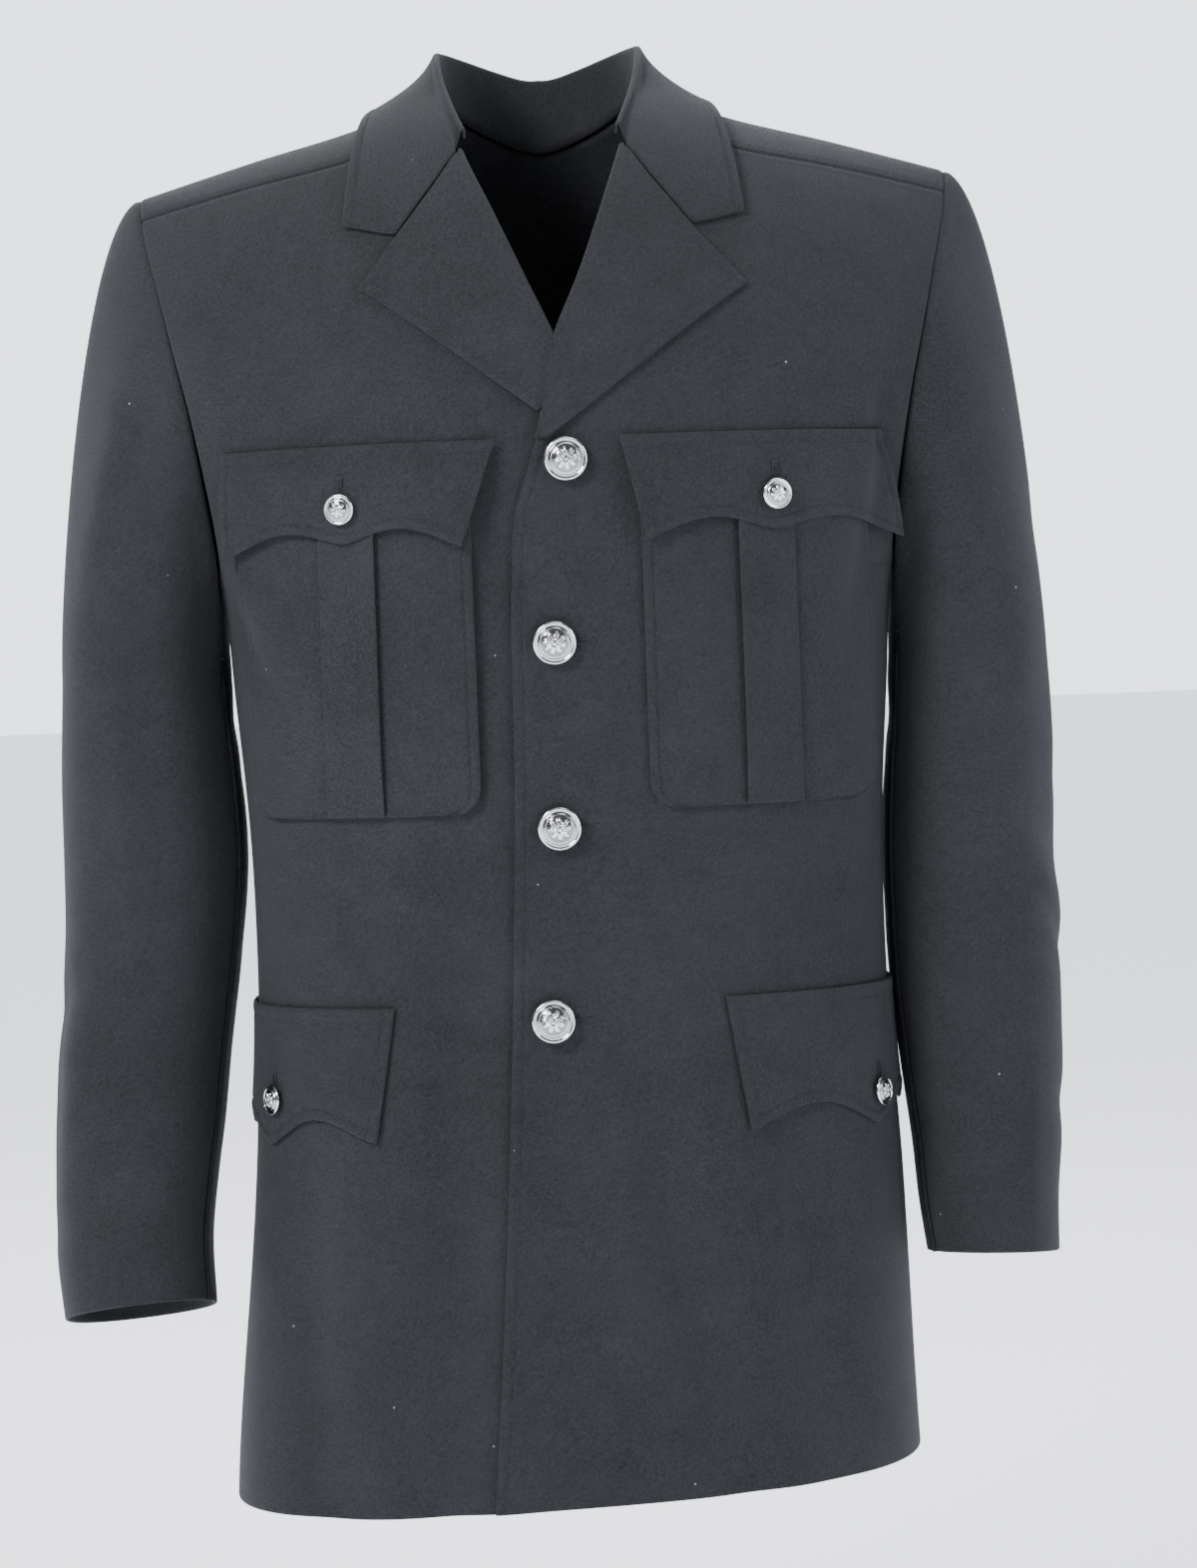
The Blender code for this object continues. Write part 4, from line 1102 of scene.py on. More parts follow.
# %% The armhole and the rings
CHEST_ROWS = (0, 0.025, 0.07, 0.14, 0.24, 0.36, 0.5, 0.64, 0.78, 0.9, 1)
LOOP_FRONT = 10
LOOP_OVER = 15
LOOP_END = 25
Cuffward = namedtuple("Cuffward", "z outer inner half_depth middle slope lean")
SLEEVES = {
    "left": (
        Cuffward(-300, 278, 189.5, 73, 6, 0, 0),
        Cuffward(-346, 280, 186, 70, 8, 0, 0),
        Cuffward(-400, 281.5, 182.5, 67, 10, 0, 0),
        Cuffward(-450, 281.5, 182, 64, 9, 0, 0),
        Cuffward(-500, 280.5, 184, 61, 3, 1, 0),
        Cuffward(-540, 279.5, 187.5, 59, -4, 2, 0),
        Cuffward(-581, 276.5, 191.5, 57, -12, 4, 0),
        Cuffward(-612, 273, 193.5, 55, -18, 5, 0),
        Cuffward(-643, 271.5, 197, 54, -24, 6, 1),
    ),
    "right": (
        Cuffward(-300, 285.5, 189.5, 73, 6, 0, 0),
        Cuffward(-351, 288.5, 186, 70, 8, 0, 0),
        Cuffward(-404, 290, 184.5, 67, 10, 0, 0),
        Cuffward(-458, 293, 190, 64, 9, 1, 0),
        Cuffward(-510, 296.5, 197.5, 61, 3, 2, 0),
        Cuffward(-556, 299.5, 203, 59, -4, 4, 1),
        Cuffward(-583, 300, 207, 57, -9, 6, 2),
        Cuffward(-620, 300, 211, 55, -18, 9, 3),
        Cuffward(-659, 296, 210, 54, -25, 12, 4),
    ),
}
CAP_SHARES = (0, 0.1, 0.22, 0.36, 0.52, 0.68, 0.84, 1)
SLEEVE_SQUARENESS = 2.2
CAP_START_PULL = 95 * MM
CAP_END_PULL = 230 * MM
CAP_TURN_TOP = math.radians(4)
CAP_TURN_UNDER = math.radians(168)
CAP_SPAN = 280 * MM
CAP_SAG = 2.4


def armhole_point(t):
    """The armhole: 0 is the underarm, 10 the forward seam, 15 the ridge, 25 the underarm."""
    t = np.asarray(t, float) % LOOP_END
    share_front = np.interp(t, range(LOOP_FRONT + 1), CHEST_ROWS)
    share_back = np.interp(LOOP_END - t, range(LOOP_FRONT + 1), CHEST_ROWS)
    x = np.full(t.shape, 0.2)
    for _ in range(10):
        x = armhole_x(mix(UNDERARM_Z, ridge(x) - seam_drop(x), share_front))
    front = body_point(x, mix(UNDERARM_Z, ridge(x) - seam_drop(x), share_front), True)
    x = np.full(t.shape, 0.2)
    for _ in range(10):
        x = armhole_x(mix(UNDERARM_Z, ridge(x), share_back))
    back = body_point(x, mix(UNDERARM_Z, ridge(x), share_back), False)
    over = over_point(0.0, np.clip((LOOP_OVER - t) / (LOOP_OVER - LOOP_FRONT), 0, 1))
    t = t[..., None]
    return np.where(t <= LOOP_FRONT, front, np.where(t < LOOP_OVER, over, back))


LOOP_POINTS = armhole_point(np.arange(LOOP_END))
LOOP_MIDDLE = LOOP_POINTS.mean(axis=0)
LOOP_TOP = LOOP_POINTS[:, 2].max()
print("armhole middle", LOOP_MIDDLE.round(3), "top", round(float(LOOP_TOP), 3))

# %% Folds of a sleeve
# Angle round the arm from the outer edge, with the front negative. The deep folds are
# those of the frame's own sleeves, and the fine ones are added here.
FINE_FOLD_STRENGTH = 1.7
ArmFold = namedtuple("ArmFold", "angle z long wide depth lean")
SLEEVE_FOLDS = {
    "left": (
        ArmFold(-50, -395, 30, 50, -4.0, 60),
        ArmFold(-45, -430, 26, 55, 3.0, 60),
        ArmFold(35, -240, 18, 40, -2.5, 20),
        ArmFold(80, -420, 28, 45, -3.0, -40),
        ArmFold(-62, -350, 12, 42, -1.6, 44),
        ArmFold(-30, -455, 11, 48, -1.4, 70),
        ArmFold(-70, -470, 12, 40, 1.2, 50),
        ArmFold(-20, -330, 60, 12, 1.0, 0),
        ArmFold(-78, -560, 60, 10, -1.2, 0),
        ArmFold(-64, -570, 66, 9, 0.9, 0),
        ArmFold(-95, -250, 40, 14, -1.4, 0),
        ArmFold(100, -470, 14, 50, -1.6, -30),
        ArmFold(120, -380, 14, 44, -1.4, -30),
        ArmFold(-10, -560, 12, 40, -1.0, 30),
        ArmFold(150, -330, 14, 40, -1.5, 20),
    ),
    "right": (
        ArmFold(-75, -150, 75, 18, -4.5, 0),
        ArmFold(-58, -160, 80, 18, 3.0, 0),
        ArmFold(-60, -420, 32, 55, -3.0, 40),
        ArmFold(80, -410, 28, 45, -3.0, -40),
        ArmFold(-92, -330, 70, 12, -1.6, 0),
        ArmFold(-80, -340, 76, 11, 1.3, 0),
        ArmFold(-40, -470, 14, 46, -1.6, 44),
        ArmFold(-66, -500, 12, 44, 1.3, 30),
        ArmFold(-20, -520, 70, 11, -0.9, 0),
        ArmFold(-48, -600, 12, 40, -1.2, 24),
        ArmFold(95, -480, 14, 50, -1.6, -30),
        ArmFold(125, -370, 14, 44, -1.4, -30),
        ArmFold(30, -300, 80, 14, -1.0, 0),
        ArmFold(150, -320, 14, 40, -1.5, 20),
    ),
}


def arm_fold(side, angle, z):
    total = np.zeros(np.broadcast(angle, z).shape)
    for fold in SLEEVE_FOLDS[side]:
        turn = (np.degrees(angle) - fold.angle + 180) % 360 - 180
        down = z / MM - fold.z + fold.lean * turn / 90
        strength = 1.0 if abs(fold.depth) > 2 else FINE_FOLD_STRENGTH
        total += strength * fold.depth * np.exp(-((down / fold.long) ** 2) - (turn / fold.wide) ** 2)
    return total * MM


def sleeve_ring(side, angle, z):
    table = SLEEVES[side]
    columns = ("outer", "inner", "half_depth", "middle", "slope", "lean")
    outer, inner, depth, middle, slope, lean = (curve(table, "z", column)(z) for column in columns)
    power = 2 / SLEEVE_SQUARENESS
    side = np.sign(np.cos(angle)) * np.abs(np.cos(angle)) ** power
    rear = np.sign(np.sin(angle)) * np.abs(np.sin(angle)) ** power
    x = (outer + inner) / 2 + (outer - inner) / 2 * side
    return np.stack([x, middle + depth * rear, z - slope * rear - lean * side], axis=-1)


def loop_frame(t):
    """Start, heading and facing of the cloth all round the armhole, and its angle."""
    point = armhole_point(t)
    along = unit(armhole_point(t + 1) - armhole_point(t - 1))
    out = body_normal(point)
    away = unit(np.cross(along, out))
    share = (point[..., 2] - UNDERARM_Z) / (LOOP_TOP - UNDERARM_Z)
    turn = mix(CAP_TURN_UNDER, CAP_TURN_TOP, 1 - (1 - share) ** 2)
    cos, sin = np.cos(turn)[..., None], np.sin(turn)[..., None]
    start = point + away * SEAM_GAP + out * SEAM_GAP * np.sin(turn / 2)[..., None]
    sag = ((1 - share) * share * CAP_SAG)[..., None] * np.array([0, 0, -1])
    heading = unit(away * cos + out * sin + sag)
    facing = out * cos - away * sin
    angle = np.arctan2(point[..., 1] - LOOP_MIDDLE[1], point[..., 2] - LOOP_MIDDLE[2])
    return start, heading, facing, angle


CAP_COUNT = 44
ARM_COUNT = 84
CUFF_STEPS = (0, 0.12, 0.4, 0.9, 2.0, 4.0)


def sleeve_grid(side, t):
    """Rings of a sleeve at the given places round the armhole, crown first, and normals."""
    start, heading, facing, angle = loop_frame(t)
    top_z = SLEEVES[side][0].z * MM
    foot_z = SLEEVES[side][-1].z * MM
    biceps = sleeve_ring(side, angle, top_z)
    reach = (np.linalg.norm(biceps - start, axis=-1) / CAP_SPAN)[..., None]
    up = np.array([0, 0, CAP_END_PULL])
    rings, calm = [], []
    for s in spaced(CAP_COUNT, CAP_SPAN, SEWN_STEPS, (0,)) / CAP_SPAN:
        ring = start * (1 + 2 * s) * (1 - s) ** 2 + biceps * s * s * (3 - 2 * s)
        ring = ring + heading * CAP_START_PULL * reach * s * (1 - s) ** 2
        rings.append(ring + up * reach * s * s * (1 - s))
        calm.append(float(ease((np.interp(s, CAP_SHARES, range(8)) - 1) / 3)))
    for down in spaced(ARM_COUNT, top_z - foot_z, (3.0,), CUFF_STEPS):
        rings.append(sleeve_ring(side, angle, top_z - down))
        calm.append(1.0)
    rings = np.array(rings)
    down = np.gradient(rings, axis=0)
    along = np.gradient(rings, axis=1)
    normals = unit(np.cross(down, along))
    normals[0] = facing
    lifted = arm_fold(side, angle[None], rings[..., 2]) * np.array(calm)[:, None]
    return rings + normals * lifted[..., None]


def grid_normals(grid):
    down = np.gradient(grid, axis=0)
    along = np.gradient(grid, axis=1)
    return unit(np.cross(down, along))


FRONT_SEAM = 2
BACK_SEAM = 20
T_STEPS = np.array([0, 0.02, 0.045, 0.08, 0.13])
SLEEVE_PIECES = {"top": (FRONT_SEAM, BACK_SEAM, 66), "under": (BACK_SEAM, FRONT_SEAM + LOOP_END, 34)}


def sleeve_piece(side, piece):
    first, last, count = SLEEVE_PIECES[piece]
    inside = np.linspace(first + 0.22, last - 0.22, count)
    t = np.concatenate([first + T_STEPS, inside, last - T_STEPS[::-1]])
    grid = sleeve_grid(side, t)
    for end, next_in in ((0, 1), (-1, -2)):
        grid[:, end] += unit(grid[:, next_in] - grid[:, end]) * SEAM_GAP / 2
    normals = grid_normals(grid)
    middle = grid.mean(axis=1, keepdims=True)
    if np.sum(normals * (grid - middle)) < 0:
        normals = -normals
    reach = distances(grid)
    low, high = edge_form(-CLOTH, 0, reach, free=("north",), sewn=("west", "east", "south"), rows=[])
    flip = np.array([1 if side == "left" else -1, 1, 1])
    outer = (grid + normals * high[..., None]) * flip
    inner = (grid + normals * low[..., None]) * flip
    return cloth_piece(f"sleeve_{side}_{piece}", [shell_faces(outer, inner)])


for wearer_side in ("left", "right"):
    for sleeve_part in ("top", "under"):
        sleeve_piece(wearer_side, sleeve_part)

# %% [markdown]
# ## The collar
# A tailored collar is one strip that stands up from the neck seam, folds over and
# lies down on the shoulders. Round the back the fold is high and tight. Towards the
# front it sinks, until the strip lies flat and meets the lapel along the gorge.

# %% Sections of the collar
Stand = namedtuple("Stand", "turn height")
COLLAR_STAND = (
    Stand(0, 41),
    Stand(45, 36),
    Stand(75, 27),
    Stand(90, 22),
    Stand(101, 15),
    Stand(112, 8),
    Stand(124, 4.5),
    Stand(131.4, 3.6),
)
Fall = namedtuple("Fall", "turn x y")
COLLAR_FALL = (
    Fall(0, 0, 79),
    Fall(30, 47, 71),
    Fall(60, 82, 44),
    Fall(90, 93.5, 0),
    Fall(101, 98.5, -28),
    Fall(115, 104, -60),
    Fall(131.4, 110, -91),
)
COLLAR_END = 131.4
COLLAR_TURN_COUNT = 84
NOTCH_SHARE = 0.6
FLAT_LIFT = LAYER_GAP + CLOTH / 2
BACK_LIFT = 5 * MM
FOOT_INSET = 3.4 * MM
FOLD_HALF = 2.4 * MM
GORGE_START = np.array([45 * MM, -15 * MM])
NOTCH = np.array([81 * MM, -62 * MM])
COLLAR_TIP = np.array([110 * MM, -55 * MM])
FALL_LENGTH = 60 * MM
STAND_COUNT = 8
ROLL_COUNT = 7
COLLAR_BULGE = 8 * MM
COLLAR_SLACK = 0.7

stand_height = curve(COLLAR_STAND, "turn", "height", 1)
fall_x = curve(COLLAR_FALL, "turn", "x", 1)
fall_y = curve(COLLAR_FALL, "turn", "y", 1)


def gorge_place(share, tip):
    """Front-view place along the gorge seam to the notch, and on to a tip."""
    share = np.asarray(share, float)[..., None]
    seam = mix(GORGE_START, NOTCH, share / NOTCH_SHARE)
    beyond = mix(NOTCH, tip, (share - NOTCH_SHARE) / (1 - NOTCH_SHARE))
    return np.where(share <= NOTCH_SHARE, seam, beyond)


def neck_outward(turn):
    if turn < 2:
        return np.array([0.0, 1.0, 0.0])
    step = np.array(neck_plan(turn + 2)) - np.array(neck_plan(max(0, turn - 2)))
    return unit(np.cross(np.array([*step, 0.0]), np.array([0, 0, -1.0])))


def collar_section(turn):
    """Middle of the cloth from the neck seam, up the stand, over the roll to the edge."""
    seam, out, up = neck_seam(turn), neck_outward(turn), np.array([0, 0, 1.0])
    height = float(stand_height(turn))
    foot = seam - out * FOOT_INSET
    fold = foot + up * height
    start = fold + out * FOLD_HALF
    points = [mix(foot, fold - up * FOLD_HALF / 2, s) for s in np.linspace(0, 1, STAND_COUNT)]
    for angle in np.linspace(math.pi, 0, ROLL_COUNT)[1:]:
        half = FOLD_HALF / 2
        points.append(fold + out * half * (1 + math.cos(angle)) + up * half * (math.sin(angle) - 0.2))
    edge_plan = np.array([float(fall_x(turn)), float(fall_y(turn))])
    edge_lift = float(mix(BACK_LIFT, FLAT_LIFT, ease((turn - 108) / 23)))
    top = top_point(*edge_plan)
    edge = top + body_normal(top) * edge_lift
    bulge = start + out * COLLAR_BULGE - up * height * COLLAR_SLACK
    lying = float(ease((turn - 92) / 24))
    gorge = float(ease((turn - 110) / 20))
    shares = spaced(20, FALL_LENGTH, (1.5, 3.5), STITCHED_STEPS) / FALL_LENGTH
    s = shares[:, None]
    free = mix(mix(start, bulge, s), mix(bulge, edge, s), s)
    straight = mix(start[:2], edge_plan, s)
    place = gorge_place(shares, COLLAR_TIP)
    bent = body_point(place[:, 0], place[:, 1], True)[:, :2]
    clear = mix(edge_lift, FLAT_LIFT + 1 * MM, 1 - s)
    plan = mix(straight, bent, gorge)
    base = top_point(plan[:, 0], plan[:, 1])
    flat = base + body_normal(base) * clear
    return np.concatenate([np.array(points), mix(free, flat, lying)])


def collar_piece():
    turns = np.sort(COLLAR_END - spaced(COLLAR_TURN_COUNT, COLLAR_END * MM, (0, 0.1, 0.3, 0.7, 1.4), (0,)) / MM)
    half = np.array([collar_section(turn) for turn in turns])
    half[0, :, 0] = 0
    whole = np.concatenate([half[:0:-1] * np.array([-1, 1, 1]), half])
    normals = grid_normals(whole)
    upper = normals[len(half) - 1, -1]
    if upper[1] < 0:
        normals = -normals
    reach = distances(whole)
    low, high = edge_form(
        -CLOTH / 2, CLOTH / 2, reach,
        free=("east", "south", "north"), rows=[("east", STITCH_INSET)],
    )
    wave = 0.5 * MM * np.sin(whole[..., 0] / (19 * MM)) * ease((50 * MM - reach["east"]) / (40 * MM))
    outer = whole + normals * (high + wave)[..., None]
    inner = whole + normals * (low + wave)[..., None]
    path, facing = row_inside(outer, "east", STITCH_INSET, STITCH_INSET, STITCH_INSET)
    rows = [stitch_row(path, facing)]
    for side in ("south", "north"):
        path, facing = row_inside(outer, side, STITCH_INSET)
        steps = np.linalg.norm(path[:, :2] - path[-1, :2], axis=1)
        keep = steps < 27 * MM
        rows.append(stitch_row(path[keep], facing[keep]))
    threads = thread_piece("collar", rows)
    return cloth_piece("collar", [shell_faces(outer, inner)])


collar = collar_piece()

# %% [markdown]
# ## The lapels
# The front itself turns back along the break line and shows its facing as a lapel.
# Pressed flat it would look like card, so the turn is a round roll, and the lapel
# lies nearly flat only out towards its tip.

# %% Lapels with a soft roll
Lapel = namedtuple("Lapel", "tip foot inner_foot")
LAPELS = {
    "left": Lapel((109 * MM, -94 * MM), (-2 * MM, -176 * MM), (-7.5 * MM, -176 * MM)),
    "right": Lapel((102 * MM, -90 * MM), (8 * MM, -161.5 * MM), (6.5 * MM, -160 * MM)),
}
GORGE_GAP = 1.2 * MM
ROLL_TURNS = np.radians((-80, -60, -40, -20, 0, 20, 40, 60, 80))
ROLL_RADIUS = 2.3 * MM
ROLL_REACH = 0 * MM
LAPEL_SWELL = 1.3 * MM
LAPEL_LENGTH = 100 * MM


def lapel_place(side, station, share):
    """Front-view places, from the gorge down and from the break line out."""
    lapel = LAPELS[side]
    z = mix(GORGE_START[1], lapel.inner_foot[1], station)
    edge = left_edge if side == "left" else right_edge
    inner_x = edge(z)
    if side == "right":
        inner_x = np.maximum(inner_x, -left_edge(z) + 1.5 * MM)
    inner = np.stack([inner_x, z], axis=-1)
    outer = mix(np.array(lapel.tip), np.array(lapel.foot), station[..., None])
    straight = mix(inner, outer, share[..., None])
    bend = gorge_place(share, np.array(lapel.tip))
    line = mix(GORGE_START, np.array(lapel.tip), share[..., None])
    return straight + (bend - line) * ((1 - station) ** 3)[..., None]


def lapel_piece(side):
    sign = 1 if side == "left" else -1
    stations = np.concatenate([[0, 0.001, 0.003, 0.007, 0.014], np.linspace(0.022, 1, 74)])
    shares = spaced(34, LAPEL_LENGTH, (0, 3), STITCHED_STEPS) / LAPEL_LENGTH
    station, share = np.meshgrid(stations, shares, indexing="ij")
    place = lapel_place(side, station, share)
    place[..., 1] -= GORGE_GAP * (1 - station) ** 8
    x, z = place[..., 0], place[..., 1]
    roll_z = z[:, 0] + (GORGE_GAP + ROLL_REACH) * (1 - stations) ** 8
    base = body_point(x, z, True)
    reach = distances(base)
    bottom = LAPEL_SWELL * np.exp(-((reach["west"] / (16 * MM)) ** 2)) * ease(reach["west"] / (6 * MM))
    low, high = edge_form(
        LAYER_GAP + bottom, LAYER_GAP + CLOTH + bottom, reach,
        free=("east", "south"), rows=[("east", STITCH_INSET)],
    )
    outer, facing = cloth_point(x, z, high, sign)
    inner, _ = cloth_point(x, z, low, sign)
    roll_out, roll_in = [], []
    fade = ease((1 - stations) * 6)
    for turn in ROLL_TURNS:
        size = ROLL_RADIUS * (0.35 + 0.65 * fade)
        roll_x = x[:, 0] - size * math.cos(turn)
        middle = LAYER_GAP + CLOTH - size
        roll_out.append(cloth_point(roll_x, roll_z, middle + size * math.sin(turn), sign)[0])
        thin = size * 0.35
        roll_x = x[:, 0] - thin * math.cos(turn)
        roll_in.append(cloth_point(roll_x, roll_z, middle + thin * math.sin(turn), sign)[0])
    outer = np.concatenate([np.stack(roll_out, axis=1), outer], axis=1)
    inner = np.concatenate([np.stack(roll_in, axis=1), inner], axis=1)
    path, normals = row_inside(outer, "east", STITCH_INSET, STITCH_INSET, 4 * MM)
    rows = [stitch_row(path, normals)]
    flat = outer[:, len(ROLL_TURNS):]
    path, normals = row_inside(flat, "south", STITCH_INSET)
    beyond = np.linalg.norm(path - path[-1], axis=1)
    keep = (beyond < 38 * MM) & (beyond > STITCH_INSET)
    rows.append(stitch_row(path[keep], normals[keep]))
    threads = thread_piece("lapel_" + side, rows)
    shell = shell_faces(outer, inner)
    return cloth_piece("lapel_" + side, [shell])


for wearer_side in ("left", "right"):
    lapel_piece(wearer_side)

# %% [markdown]
# ## Chest pockets
# A patch pocket with a box pleat down its middle. The pleat is one strip whose two
# edges are folded under, so each edge throws a narrow shadow on the patch. The
# flap covers the pocket's mouth and most of the pleat's top.

# %% Pockets with a box pleat
POCKET_INNER = 46 * MM
POCKET_OUTER = 173 * MM
POCKET_TOP = -204 * MM
POCKET_BOTTOM = -379 * MM
POCKET_RADIUS = 15 * MM
PLEAT_MIDDLE = 113 * MM
PLEAT_HALF = 14.5 * MM
PLEAT_RISE = 2.0 * MM
PLEAT_OVERHANG = 0.8 * MM
POCKET_STITCH = 5.5 * MM
POCKET_STEPS = (0, 0.12, 0.4, 0.9, 1.8, 3.2, 4.5, 5.0, 5.5, 6.0, 6.7, 8.0)


def pocket_outline(inset, z):
    """First and last place across the pocket at a height, inside its rounded outline."""
    radius = POCKET_RADIUS - inset
    up = np.clip(z - (POCKET_BOTTOM + inset), 0, radius)
    corner = radius - np.sqrt(np.clip(radius**2 - (radius - up) ** 2, 0, None))
    return POCKET_INNER + inset + corner, POCKET_OUTER - inset - corner


def pocket_patch(sign):
    z = POCKET_BOTTOM + spaced(46, POCKET_TOP - POCKET_BOTTOM, POCKET_STEPS, (0,))
    first, last = pocket_outline(0, z)
    x = first[:, None] + spaced(50, last - first, POCKET_STEPS, POCKET_STEPS)
    z = np.repeat(z[:, None], x.shape[1], axis=1)
    base = body_point(x, z, True)
    reach = distances(base)
    low, high = edge_form(
        LAYER_GAP, LAYER_GAP + LAYER, reach,
        free=("west", "east", "south"),
        rows=[(side, POCKET_STITCH) for side in ("west", "east", "south")],
    )
    puff = 0.8 * MM * ease(reach["west"] / 0.03) * ease(reach["east"] / 0.03) * ease(reach["south"] / 0.04)
    dip = 0.5 * MM * np.exp(-(((np.abs(x - PLEAT_MIDDLE) - PLEAT_HALF) / (3 * MM)) ** 2))
    outer, _ = cloth_point(x, z, high + puff - dip, sign)
    inner, _ = cloth_point(x, z, low, sign)
    return outer, inner


def pleat_strip(sign):
    """The raised strip of the pleat. Its long edges are round folds that stand off the patch."""
    z = POCKET_BOTTOM + 0.4 * MM + spaced(40, POCKET_TOP - POCKET_BOTTOM, POCKET_STEPS, (0,))
    width = 2 * (PLEAT_HALF + PLEAT_OVERHANG)
    across = spaced(18, width, (0, 0.1, 0.35, 0.8, 1.5), (0, 0.1, 0.35, 0.8, 1.5))
    lean = mix(1.4 * MM, -0.6 * MM, (z - POCKET_BOTTOM) / (POCKET_TOP - POCKET_BOTTOM))
    x = PLEAT_MIDDLE - width / 2 + across[None] + lean[:, None] * 0.4
    z = np.repeat(z[:, None], x.shape[1], axis=1)
    base = body_point(x, z, True)
    reach = distances(base)
    lift = LAYER_GAP + LAYER
    low, high = edge_form(lift + 0.5 * MM, lift + PLEAT_RISE, reach, free=("west", "east", "south"))
    stand = 0.5 * MM * ease((reach["south"] - 6 * MM) / (40 * MM))
    open_side = 1.8 * MM * np.exp(-((reach["west"] / (7 * MM)) ** 2)) * ease(reach["south"] / (30 * MM))
    outer, _ = cloth_point(x, z, high + stand + open_side, sign)
    inner, _ = cloth_point(x, z, low + stand * 0.5 + open_side, sign)
    return outer, inner


def pocket_trace(sign):
    """The stitched line round the sides and foot of a pocket."""
    low = POCKET_BOTTOM + POCKET_STITCH
    z = np.linspace(POCKET_TOP, low, 160)
    first, last = pocket_outline(POCKET_STITCH, z)
    foot = np.linspace(first[-1], last[-1], 60)[1:-1]
    x = np.concatenate([first, foot, last[::-1]])
    z = np.concatenate([z, np.full(len(foot), low), z[::-1]])
    keep = (np.abs(x - PLEAT_MIDDLE) > PLEAT_HALF + 1 * MM) | (z > low + 1 * MM)
    rows = []
    for part in (keep & (x < PLEAT_MIDDLE), keep & (x > PLEAT_MIDDLE)):
        path, normals = cloth_point(x[part], z[part], np.full(part.sum(), LAYER_GAP + LAYER), sign)
        rows.append(stitch_row(path, normals))
    across = np.linspace(PLEAT_MIDDLE - PLEAT_HALF, PLEAT_MIDDLE + PLEAT_HALF, 20)
    height = np.full(20, LAYER_GAP + LAYER + PLEAT_RISE)
    path, normals = cloth_point(across, np.full(20, low), height, sign)
    rows.append(stitch_row(path, normals))
    return rows


def pocket_piece(side):
    sign = 1 if side == "left" else -1
    patch, patch_in = pocket_patch(sign)
    strip, strip_in = pleat_strip(sign)
    threads = thread_piece("chest_pocket_" + side, pocket_trace(sign))
    shells = [shell_faces(patch, patch_in), shell_faces(strip, strip_in)]
    return cloth_piece("chest_pocket_" + side, shells)


for wearer_side in ("left", "right"):
    pocket_piece(wearer_side)

# %% [markdown]
# ## Scalloped flaps
# Each flap ends in two scallops that meet in a shallow point under the button. It
# is cut double, turned and pressed, so its edge is thick and round, and the free
# end stands off the pocket a little. The hip flaps wrap round the side seam, so
# they are laid out by distance round the body and not across the front view.

# %% Outline of a flap
FLAP_TOP = -176 * MM
FLAP_TOP_SPAN = {"left": (36 * MM, 182 * MM), "right": (31 * MM, 182 * MM)}
FLAP_FOOT_SPAN = {"left": (48 * MM, 187 * MM), "right": (50.5 * MM, 177 * MM)}
FLAP_CORNER_Z = -233 * MM
FLAP_MIDDLE_Z = -229 * MM
FLAP_SCALLOP = 9 * MM
CHEST_FLAP_STAND = LAYER + PLEAT_RISE + LAYER_GAP
FLAP_BOW = 1.3
SCALLOP_POWER = 1.3
FLAP_SIZE = (140 * MM, 55 * MM)
HIP_FLAP_TOP = -484 * MM
HIP_FLAP_MIDDLE_X = {"left": 165 * MM, "right": 170 * MM}
HIP_FLAP_HALF_TOP = {"left": 98 * MM, "right": 92 * MM}
HIP_FLAP_HALF_FOOT = {"left": 87 * MM, "right": 80 * MM}
HIP_FLAP_CORNER_Z = -558 * MM
HIP_FLAP_MIDDLE_Z = -562 * MM
HIP_FLAP_SCALLOP = 14 * MM
HIP_FLAP_SIZE = (172 * MM, 70 * MM)
FLAP_STITCHES = [("west", STITCH_INSET), ("east", STITCH_INSET), ("north", STITCH_INSET), ("south", 7 * MM)]


def scallop(share, corner_z, middle_z, depth):
    """Height of the three-point edge at a share of the flap's width."""
    off = np.abs(share - 0.5) * 2
    return mix(middle_z, corner_z, off) + depth * np.abs(np.sin(math.pi * off)) ** SCALLOP_POWER


def flap_shares(size, count_across, count_down):
    across = spaced(count_across, size[0], STITCHED_STEPS, STITCHED_STEPS) / size[0]
    down = spaced(count_down, size[1], STITCHED_STEPS, STITCHED_STEPS) / size[1]
    return np.meshgrid(down, across, indexing="ij")


def chest_flap_points(side):
    """Places in the front view, from the top edge down to the scallops."""
    down, across = flap_shares(FLAP_SIZE, 66, 16)
    bow = np.sin(across * FLAP_BOW) / math.sin(FLAP_BOW)
    x = mix(mix(*FLAP_TOP_SPAN[side], bow), mix(*FLAP_FOOT_SPAN[side], bow), down)
    foot = scallop(bow, FLAP_CORNER_Z, FLAP_MIDDLE_Z, FLAP_SCALLOP)
    return body_point(x, mix(FLAP_TOP, foot, down), True), down, across


def ring_table(z):
    """Distance round the left half of the body at one height, and the turn at each."""
    turns = np.linspace(-math.pi / 2, math.pi / 2, 241)
    x = half_width(z) * np.abs(np.cos(turns)) ** (2 / SQUARENESS)
    front, rear = body_point(x, np.full_like(x, z), True), body_point(x, np.full_like(x, z), False)
    points = np.where((turns < 0)[:, None], front, rear)
    steps = np.linalg.norm(np.diff(points, axis=0), axis=1)
    return np.concatenate([[0], np.cumsum(steps)]), turns, points


